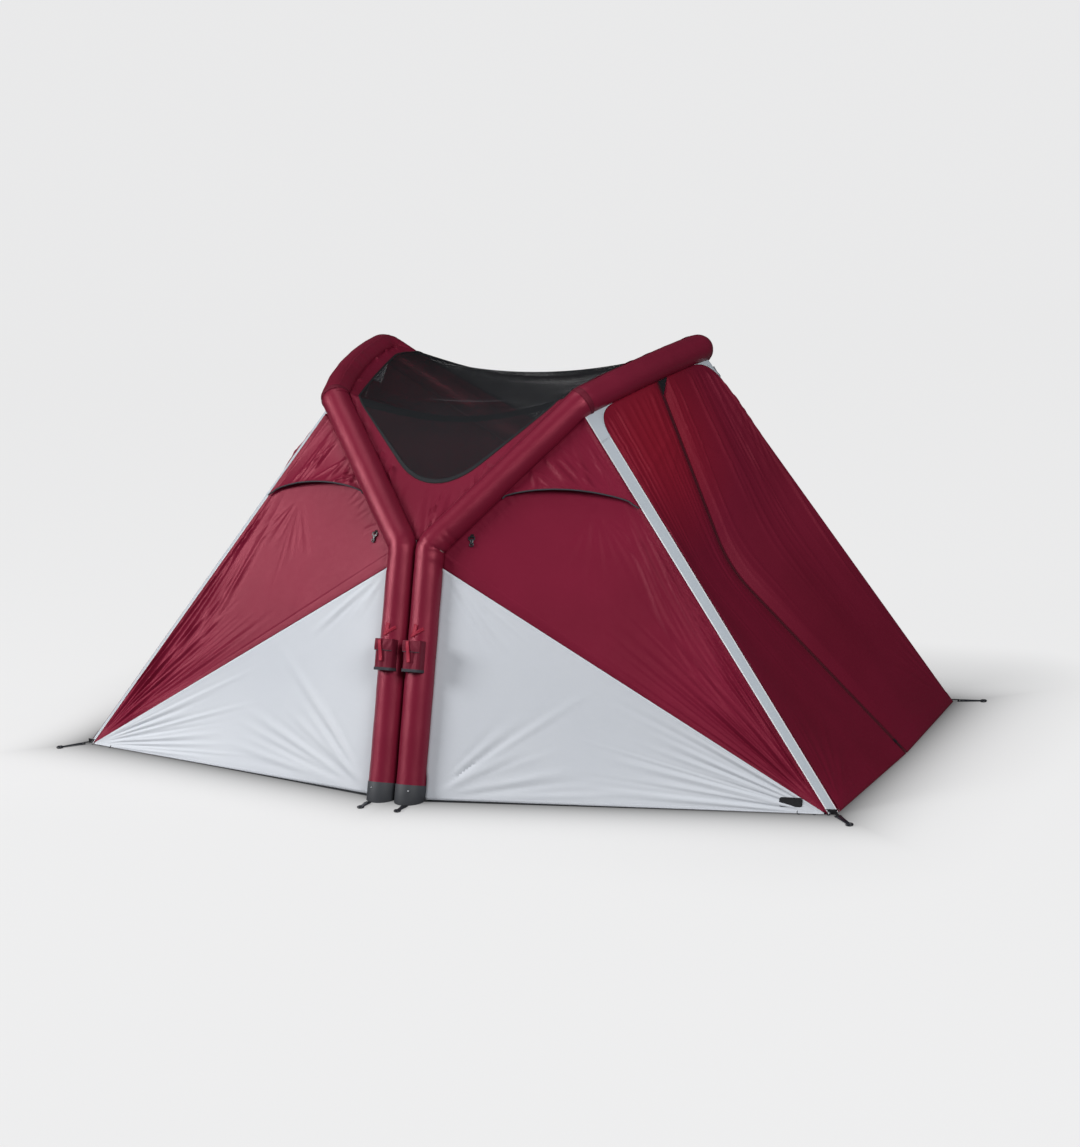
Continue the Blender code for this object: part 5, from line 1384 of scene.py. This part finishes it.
def leg_post(end, radius, floor, top):
    """A round post along a leg, cut flat at a height, as the active object."""
    foot, run = BEAMS[end].at(0), Vector((0, -end * LEG_RUN.y, LEG_RUN.z))
    solid(bpy.ops.mesh.primitive_cylinder_add, vertices=96, radius=radius, depth=top + POST_DROP,
          location=foot + run * (top - POST_DROP) / 2, rotation=run.to_track_quat("Z", "Y").to_euler())
    bpy.ops.object.mode_set(mode="EDIT")
    bpy.ops.mesh.select_all(action="SELECT")
    bpy.ops.mesh.bisect(plane_co=(0, 0, floor), plane_no=(0, 0, 1), use_fill=True, clear_inner=True)
    bpy.ops.object.mode_set(mode="OBJECT")
    return bpy.context.object


def apply_boolean(body, tool):
    """Takes one solid out of another and removes it."""
    pick(body)
    cut = body.modifiers.new("Bore", "BOOLEAN")
    cut.operation, cut.object, cut.solver = "DIFFERENCE", tool, "EXACT"
    bpy.ops.object.modifier_apply(modifier=cut.name)
    bpy.data.objects.remove(tool)


def finish_hard(obj, name, material, slot, body, nodes=(), side=RIGHT, bevel=0.0005, smooth=35):
    """Bevels a hard piece, mirrors it where it belongs on the left, and makes it ride on its body."""
    pick(obj)
    if bevel:
        edge = obj.modifiers.new("Edges", "BEVEL")
        edge.width, edge.segments = bevel, 2
        edge.limit_method, edge.angle_limit = "ANGLE", math.radians(40)
        bpy.ops.object.modifier_apply(modifier=edge.name)
    if side == LEFT:
        obj.data.transform(Matrix.Diagonal((-1, 1, 1, 1)))
        obj.data.flip_normals()
    settle(obj, name, material, slot, body, nodes, smooth)


for end, side, name in CORNERS:
    cup = leg_post(end, CAP_RADIUS, 0, CAP_HEIGHT / LEG_RUN.z)
    apply_boolean(cup, leg_post(end, CAP_BORE, CAP_FLOOR, CAP_HEIGHT + 0.05))
    finish_hard(cup, f"foot_cup_{name}", CAP, "cap_rubber", "shell", [f"foot_cap_{name}"], side, 0.0007, 30)
    run, face = Vector((0, -end * LEG_RUN.y, LEG_RUN.z)), Vector((0, end * LEG_RUN.z, LEG_RUN.y))
    outward = (face * STUD_TURN[1] + Vector((STUD_TURN[0], 0, 0))).normalized()
    spot = BEAMS[end].at(0) + run * STUD_HEIGHT + outward * (CAP_RADIUS - SLACK)
    stud = solid(bpy.ops.mesh.primitive_uv_sphere_add, segments=24, ring_count=12, radius=STUD_RADIUS,
                 location=spot)
    finish_hard(stud, f"cup_stud_{name}", STUD, "clip_plastic", "shell", (), side, 0)
print("The cups stand", round(CAP_HEIGHT * 1000), "mm high")

# %% [markdown]
# The pegs hold the tent by plastic clips: a slotted frame, a tapered body and a round eye.
# A flat curve with a bevel gives the frame's plate its rounded edges, and it is made a mesh
# before it is put in its place. A loop of webbing goes round the bar of each clip.

# %% Find where the clips hang
# A clip's bulk is the radius of its body at the frame and at the eye, and the eye's radius and thickness.
LOOP_RADIUS, LOOP_REACH, LOOP_WIDTH, LOOP_SHEET = 0.00365, 0.0044, 0.014, 0.0015
CLIP_SHEET, CLIP_HEIGHT, CLIP_BEVEL = 0.0034, 0.0048, 0.0007
EYE_RADIUS, EYE_BORE, NECK_HALF, FRAME_HALF, BAR_HALF = 0.0095, 0.005, 0.004, 0.0135, 0.0017
SLOT_END, FRAME_END, NECK_START, SLOT_HALF = 0.0082, 0.0122, 0.0162, 0.0095
BODY_START, BODY_FLATNESS = 0.0105, 0.36
FOOT_CLIP_X, FOOT_CLIP_GAP, CORNER_CLIP_GAP, SHOULDER_CLIP_DROP = 0.02, 0.018, 0.032, 0.035
CORNER_CLIP_TURNS = {FRONT: -48, BACK: 12}
TOGGLE_HEIGHT, TOGGLE_GAP, TOGGLE_LIFT, STRAP_LIFT = 1.015, 0.0296, 0.0019, 0.0014
CORNER_LENGTH, FOOT_LENGTH, SHOULDER_LENGTH, TOGGLE_LENGTH, LOOP_TUCK = 0.12, 0.068, 0.05, 0.042, 0.001
CLIP_BULK = {CORNER_LENGTH: (0.0125, 0.008, 0.0115, 0.0042), FOOT_LENGTH: (0.0125, 0.0085, 0.011, 0.004),
             SHOULDER_LENGTH: (0.009, 0.006, 0.0085, 0.0028), TOGGLE_LENGTH: (0.008, 0.0055, 0.0075, 0.0025)}


def frame_matrix(origin, x_axis, y_axis):
    rotation = Matrix((x_axis, y_axis, x_axis.cross(y_axis))).transposed()
    return Matrix.Translation(origin) @ rotation.to_4x4()


def corner_clip_frame(end):
    out = Matrix.Rotation(math.radians(CORNER_CLIP_TURNS[end]), 3, "Z") @ Vector((1, 0, 0))
    origin = STRAPS[end].bottom + out * CORNER_CLIP_GAP
    origin.z = CLIP_HEIGHT
    return frame_matrix(origin, out, UP.cross(out))


def foot_clip_frame(end):
    out, reach = Vector((0, end, 0)), math.sqrt(CAP_RADIUS**2 - FOOT_CLIP_X**2) / LEG_RUN.z
    origin = BEAMS[end].at(0) + Vector((FOOT_CLIP_X, end * (reach + FOOT_CLIP_GAP), CLIP_HEIGHT))
    return frame_matrix(origin, out, UP.cross(out))


def shoulder_clip_frame(end):
    strap = STRAPS[end]
    origin = strap.below_beam(0, SLEEVE_RADIUS + SHOULDER_CLIP_DROP)
    origin += strap.normal * (STRAP_LIFT + LOOP_REACH)
    return frame_matrix(origin, strap.run, strap.normal.cross(strap.run))


def toggle_frame():
    wall = WALLS[FRONT]
    for i in range(20):
        end = wall.ruling("upper", i / 20)
        point = wall.point("upper", i / 20, 1 - TOGGLE_GAP / (end - wall.corner).length, folds=4)
        if point.z > TOGGLE_HEIGHT:
            break
    normal = wall.normal("upper", i / 20)
    down = (normal * UP.dot(normal) - UP).normalized()
    return frame_matrix(point + normal * (TOGGLE_LIFT + LOOP_REACH), down, normal.cross(down))


# %% Make the clips and their loops
def clip_outlines(length):
    """The plate's outline, its slot and its eye."""
    eye, spread = length - EYE_RADIUS, math.pi - math.asin(NECK_HALF / EYE_RADIUS)
    angles, turns = np.linspace(-spread, spread, 32), np.linspace(0, math.tau, 25)[:-1]
    ring = [(eye + EYE_RADIUS * math.cos(a), EYE_RADIUS * math.sin(a)) for a in angles]
    near = [(-BAR_HALF, -FRAME_HALF), (FRAME_END, -FRAME_HALF), (NECK_START, -NECK_HALF)]
    plate = near + ring + [(x, -y) for x, y in reversed(near)]
    slot = [(BAR_HALF, -SLOT_HALF), (SLOT_END, -SLOT_HALF), (SLOT_END, SLOT_HALF), (BAR_HALF, SLOT_HALF)]
    hole = [(eye + EYE_BORE * math.cos(a), EYE_BORE * math.sin(a)) for a in turns]
    return [plate, slot, hole]


def make_clip(name, place, length, side):
    curve = bpy.data.curves.new("clip", "CURVE")
    curve.dimensions, curve.fill_mode = "2D", "BOTH"
    curve.bevel_depth, curve.bevel_resolution, curve.offset = CLIP_BEVEL, 2, -CLIP_BEVEL
    curve.extrude = CLIP_SHEET / 2 - CLIP_BEVEL
    for outline in clip_outlines(length):
        spline = curve.splines.new("POLY")
        spline.points.add(len(outline) - 1)
        spline.points.foreach_set("co", [c for x, y in outline for c in (x, y, 0, 1)])
        spline.use_cyclic_u = True
    obj = bpy.data.objects.new("clip", curve)
    bpy.context.scene.collection.objects.link(obj)
    pick(obj)
    bpy.ops.object.convert(target="MESH")
    merged(bpy.context.object.data, TINY, outward=True).transform(place)
    finish_hard(bpy.context.object, f"hook_{name}", PLASTIC, "clip_plastic", name, [name], side, 0)
    thicken_clip(name, place, length, side, *CLIP_BULK[length])


def thicken_clip(name, place, length, side, root, neck, ring, strand):
    """A tapered oval body on the clip's plate and a thick round eye at its end."""
    stop, eye = length - ring - strand, length - EYE_RADIUS
    middle = ((BODY_START + stop) / 2, 0, 0)
    body = solid(bpy.ops.mesh.primitive_cone_add, vertices=40, radius1=root, radius2=neck,
                 depth=stop - BODY_START, location=middle, rotation=(0, math.pi / 2, 0))
    body.data.transform(Matrix.Diagonal((1, 1, BODY_FLATNESS, 1)))
    body.data.transform(place)
    finish_hard(body, f"hook_body_{name}", PLASTIC, "clip_plastic", name, (), side, 0.0014)
    eye_ring = solid(bpy.ops.mesh.primitive_torus_add, major_radius=ring, minor_radius=strand,
                     major_segments=48, minor_segments=16, location=(eye, 0, 0))
    eye_ring.data.transform(place)
    finish_hard(eye_ring, f"hook_eye_{name}", PLASTIC, "clip_plastic", name, (), side, 0)


def make_loop(name, place, flip, side, tail=0.012, drop=LOOP_RADIUS):
    """Webbing that comes in from behind and curls round a clip's bar."""
    profile = [(-tail * (1 - k / 4), flip * drop) for k in range(4)]
    for step in range(25):
        angle = flip * (math.pi / 2 - math.radians(250) * step / 24)
        profile.append((LOOP_RADIUS * math.cos(angle), LOOP_RADIUS * math.sin(angle)))
    across = np.linspace(-LOOP_WIDTH / 2, LOOP_WIDTH / 2, 9)
    rows = [[place @ Vector((x, y, z)) for y in across] for x, z in profile]
    sheet(f"loop_{name}", rows, BLACK_TAPE, "tape", side, thickness=LOOP_SHEET, edges="over")


for side, name in SIDE_NAMES.items():
    place, drops = toggle_frame(), [lift + LOOP_REACH - LOOP_TUCK for lift in (TOGGLE_LIFT, STRAP_LIFT)]
    make_clip(f"toggle_{name}", place, TOGGLE_LENGTH, side)
    make_loop(f"toggle_{name}", place, -1, side, drop=drops[0])
    place = shoulder_clip_frame(BACK)
    make_clip(f"shoulder_clip_{name}", place, SHOULDER_LENGTH, side)
    make_loop(f"shoulder_clip_{name}", place, -1, side, 0.03, drops[1])
    for end, end_name in END_NAMES.items():
        both = f"{end_name}_{name}"
        make_clip(f"foot_clip_{both}", foot_clip_frame(end), FOOT_LENGTH, side)
        make_loop(f"foot_clip_{both}", foot_clip_frame(end), -1, side, 0.024)
        place, strap = corner_clip_frame(end), STRAPS[end]
        out, start = place.to_3x3().col[0], place.translation + UP * LOOP_RADIUS
        tail = (start - strap.bottom).dot(strap.normal) / out.dot(strap.normal) + 0.002
        make_clip(f"corner_clip_{both}", place, CORNER_LENGTH, side)
        make_loop(f"corner_clip_{both}", place, 1, side, tail)

# %% [markdown]
# A black tab of webbing ties the hem to each front corner, with three small rings along it.

# %% Sew the hem tabs
TAB_START, TAB_LENGTH, TAB_HALF, TAB_HEIGHT, TAB_LIFT = -0.012, 0.15, 0.0105, 0.0125, 0.0045
TAB_RINGS = (0.02, 0.075, 0.135)
RING_RADIUS, RING_STRAND, RING_LIFT, RING_HEIGHT = 0.0072, 0.0016, 0.0125, 0.0088


def make_tab(side, name):
    """The tab of one front corner, with its rings."""
    corner, foot = STRAPS[FRONT].at_height(0, 0), BEAMS[FRONT].at(0)
    run = (Vector((foot.x, foot.y, 0)) - Vector((corner.x, corner.y, 0))).normalized()
    out, rows = run.cross(UP) * math.copysign(1, run.cross(UP).y * FRONT), []
    for distance in np.linspace(TAB_START, TAB_LENGTH, 40):
        base = corner + run * distance + out * (TAB_LIFT + 0.0008 * math.sin(distance * 60))
        rows.append([(base.x, base.y, TAB_HEIGHT + TAB_HALF * s) for s in np.linspace(-1, 1, 7)])
    sheet(f"hem_tab_{name}", rows, BLACK_TAPE, "tape", side, thickness=0.0014, edges="over")
    for k, distance in enumerate(TAB_RINGS):
        spot = corner + run * distance + out * RING_LIFT + UP * RING_HEIGHT
        ring = solid(bpy.ops.mesh.primitive_torus_add, major_radius=RING_RADIUS, minor_radius=RING_STRAND,
                     major_segments=32, minor_segments=10, location=spot,
                     rotation=(math.radians(60), 0, math.radians(20 * k)))
        finish_hard(ring, f"hem_ring_{k}_{name}", PLASTIC, "clip_plastic", "shell", (), side, 0)


for side, name in SIDE_NAMES.items():
    make_tab(side, name)

# %% [markdown]
# A small pouch on each front leg covers the valve of the bladder.
# It is a soft box whose front bulges, with a dark tape round its foot,
# a flap with a hanging lip, and bright ribbons that cross above it.

# %% Find the front leg's own axes
VALVE_HEIGHT, POUCH_HALF, POUCH_OUT, POUCH_LENGTH = 0.5525, 0.04, SLEEVE_RADIUS + 0.032, 0.125
POUCH_CORNER, POUCH_INSET, POUCH_PUFF, POUCH_FOLDS = 0.012, 0.001, 0.0026, 10
VALVE_PLACE = BEAMS[FRONT].at(VALVE_HEIGHT / LEG_RUN.z)
LEG_PLACE = frame_matrix(VALVE_PLACE, Vector((-1, 0, 0)), LEG_FACE)


def on_leg(x, y, z):
    """A point across the leg, out of its front face, and along it."""
    return LEG_PLACE @ Vector((x, y, z))


def pouch_outline(grow=0.0):
    """The pouch seen along the leg, from one side of the leg round its front to the other."""
    half, out, corner = POUCH_HALF + grow, POUCH_OUT + grow, POUCH_CORNER
    start = math.sqrt(CAP_BORE**2 - POUCH_HALF**2)
    points = [(-half, start + (out - corner - start) * k / 8) for k in range(8)]
    for a in np.linspace(0, math.pi / 2, 9):
        points.append((-half + corner - corner * math.cos(a), out - corner + corner * math.sin(a)))
    points += [((2 * k / 16 - 1) * (half - corner), out) for k in range(1, 16)]
    return points + [(-x, y) for x, y in points[:17][::-1]]


# %% Sew the pouches
BRIGHT_RED = cloth_finish("Bright red ribbon", (0.33, 0.018, 0.04), (0.2, 0.012, 0.028), 0.45,
                          thread=0.0014, seam=0.002, crumple=0.3)
LID_CELLS, LID_START, LID_REACH, LID_RISE = 14, SLEEVE_RADIUS + 0.003, 0.03, 0.0016
LIP_CELLS, LIP_OUT, LIP_BOW, LIP_LENGTH = 19, POUCH_OUT + 0.0026, 0.0016, 0.045


def pouch_rows(side):
    """The pouch's floor, from the leg to its front, and then its side, from the floor up."""
    rng, rows, outline, folds = RNG(40 + side), [], pouch_outline(-POUCH_INSET), []
    for share in (k / 7 for k in range(7)):
        row = []
        for x, y in outline:
            inner = math.sqrt(CAP_BORE**2 - min(abs(x), POUCH_HALF) ** 2)
            row.append(on_leg(x, inner * (1 - share) + y * share, POUCH_INSET - POUCH_LENGTH / 2))
        rows.append(row)
    for _ in range(POUCH_FOLDS):
        place, wide = (rng.random() - 0.5) * 0.08, 0.003 + 0.004 * rng.random()
        folds.append((place, wide, 0.001 + 0.0012 * rng.random(), rng.random()))
    for share in (k / 45 for k in range(46)):
        row, fade = [], math.sin(math.pi * min(share * 1.1, 1))
        for x, y in outline:
            front = smoothstep(y, POUCH_OUT - 0.02, POUCH_OUT)
            puff = POUCH_PUFF * math.sin(math.pi * share) * front * (1 - (x / POUCH_HALF) ** 2)
            fold = sum(size * bell(x - place + 0.02 * (share - 0.5) * lean, wide)
                       for place, wide, size, lean in folds)
            z = POUCH_INSET + POUCH_LENGTH * (share - 0.5) * 0.99
            row.append(on_leg(x, y + puff - fold * front * fade, z))
        rows.append(row)
    return rows


def flap_rows():
    """The flap's flat lid, from the leg outwards, and its hanging lip."""
    rows, top = [], POUCH_LENGTH / 2 + LID_RISE
    for k in range(LID_CELLS + LIP_CELLS + 1):
        hangs = k > LID_CELLS
        if hangs:
            drop = (k - LID_CELLS) / LIP_CELLS
            y, z = LIP_OUT + LIP_BOW * math.sin(math.pi * drop), top - 0.001 - LIP_LENGTH * drop
        else:
            y, z = LID_START + LID_REACH * k / LID_CELLS, top - 0.0003 * math.sin(math.pi * k / LID_CELLS)
        row, wave = [], 0.0006 if hangs else 0.0001
        for x in np.linspace(-POUCH_HALF, POUCH_HALF, 29):
            out = y + 0.0007 * math.sin(x * 190 + k * 0.3) * hangs
            row.append(on_leg(x, out, z + wave * math.sin(x * 120 + k)))
        rows.append(row)
    return rows


def make_pouch(side, name):
    """One pouch with the tape at its foot, and its flap with piping along the lip."""
    sheet(f"pouch_cloth_{name}", pouch_rows(side), POUCH, "pouch_cloth", side, nodes=[f"valve_pouch_{name}"])
    outline, heights = pouch_outline(0.0012), np.linspace(-0.0006, 0.0115, 6)
    rows = [[on_leg(x, y, z - POUCH_LENGTH / 2) for x, y in outline] for z in heights]
    sheet(f"pouch_foot_tape_{name}", rows, TAPE, "tape", side, thickness=0.0008, edges="down")
    flap = flap_rows()
    body, edge = f"pouch_flap_{name}", [point + LEG_FACE * 0.0003 for point in flap[-1]]
    lip = rope(f"flap_piping_{name}", edge, 0.0013, TAPE, "tape", 8, body, side)
    sheet(f"flap_cloth_{name}", flap, POUCH, "pouch_cloth", side, thickness=0.001, body=body, nodes=[body])


def ribbon(name, points, width, side, body="shell"):
    """A narrow ribbon through points on the leg, given across it, out of it and along it."""
    path, rows = Line([on_leg(*point) for point in points]), []
    for distance in np.linspace(0, path.length, max(8, round(path.length / 0.003))):
        run = path.direction(distance)
        out = path.at(distance) - VALVE_PLACE
        across = run.cross((out - LEG_RUN * out.dot(LEG_RUN)).normalized()).normalized()
        rows.append([path.at(distance) + across * (width * s) for s in np.linspace(-0.5, 0.5, 5)])
    sheet(name, rows, BRIGHT_RED, "pouch_cloth", side, thickness=0.0009, body=body, edges="over")


def around_leg(x, z, lift):
    """A point on the sleeve, a little off its cloth."""
    return (x, math.sqrt((SLEEVE_RADIUS + lift) ** 2 - x * x), z)


for side, name in SIDE_NAMES.items():
    make_pouch(side, name)
    high, cross, front, top = [], [], [], POUCH_LENGTH / 2
    for k in range(9):
        high.append(around_leg(side * (0.004 + 0.012 * k / 8), top + 0.068 - 0.051 * k / 8, 0.0014))
        cross.append(around_leg(side * (-0.03 + 0.056 * k / 8), top + 0.053 - 0.034 * k / 8, 0.0024))
    for k in range(13):
        out = POUCH_OUT + 0.0052 + 0.0014 * math.sin(math.pi * k / 6)
        front.append((side * (0.019 - 0.012 * k / 12), out, top - 0.002 - 0.086 * k / 12))
    ribbon(f"ribbon_high_{name}", high, 0.019, side)
    ribbon(f"ribbon_cross_{name}", cross, 0.0135, side)
    ribbon(f"ribbon_front_{name}", front, 0.017, side, f"pouch_flap_{name}")

# %% [markdown]
# A bare black patch is sewn low on the front wall, where the real tent carries a printed one.
# It follows the cloth below it.

# %% Sew the patch and finish the solids that stay
def wall_spot(end, x, z, lift):
    """The point of a lower wall with this place and height, lifted off the cloth."""
    wall = WALLS[end]

    def along(share):
        return (wall.corner.x - x) / (wall.corner.x - wall.ruling("lower", share).x)

    share = solve(lambda s: wall.point("lower", s, along(s)).z > z, 0, 1)
    return wall.point("lower", share, along(share)) + wall.normal("lower", share) * lift


PATCH_X, PATCH_HEIGHT, PATCH_HALF, PATCH_RISE = 1.587, 0.045, 0.045, 0.0175
PATCH_CORNER, PATCH_LIFT = 0.008, 0.0024
patch = []
for z in np.linspace(-1, 1, 15):
    half = PATCH_HALF - PATCH_CORNER * (1 - math.sqrt(max(0.0, 1 - max(0.0, (abs(z) - 0.55) / 0.45) ** 2)))
    patch.append([wall_spot(FRONT, PATCH_X + x * half, PATCH_HEIGHT + PATCH_RISE * z, PATCH_LIFT)
                  for x in np.linspace(-1, 1, 25)])
sheet("bare_patch", patch, BLACK_TAPE, "tape", thickness=0.0008)
for name in SIDE_NAMES.values():
    for node, material in (("valve", VALVE), ("valve_lid", PLASTIC), ("zip_slider", PLASTIC)):
        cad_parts[f"{node}_{name}"].material_slots[0].material = material
print("Every solid that stays has its finish")
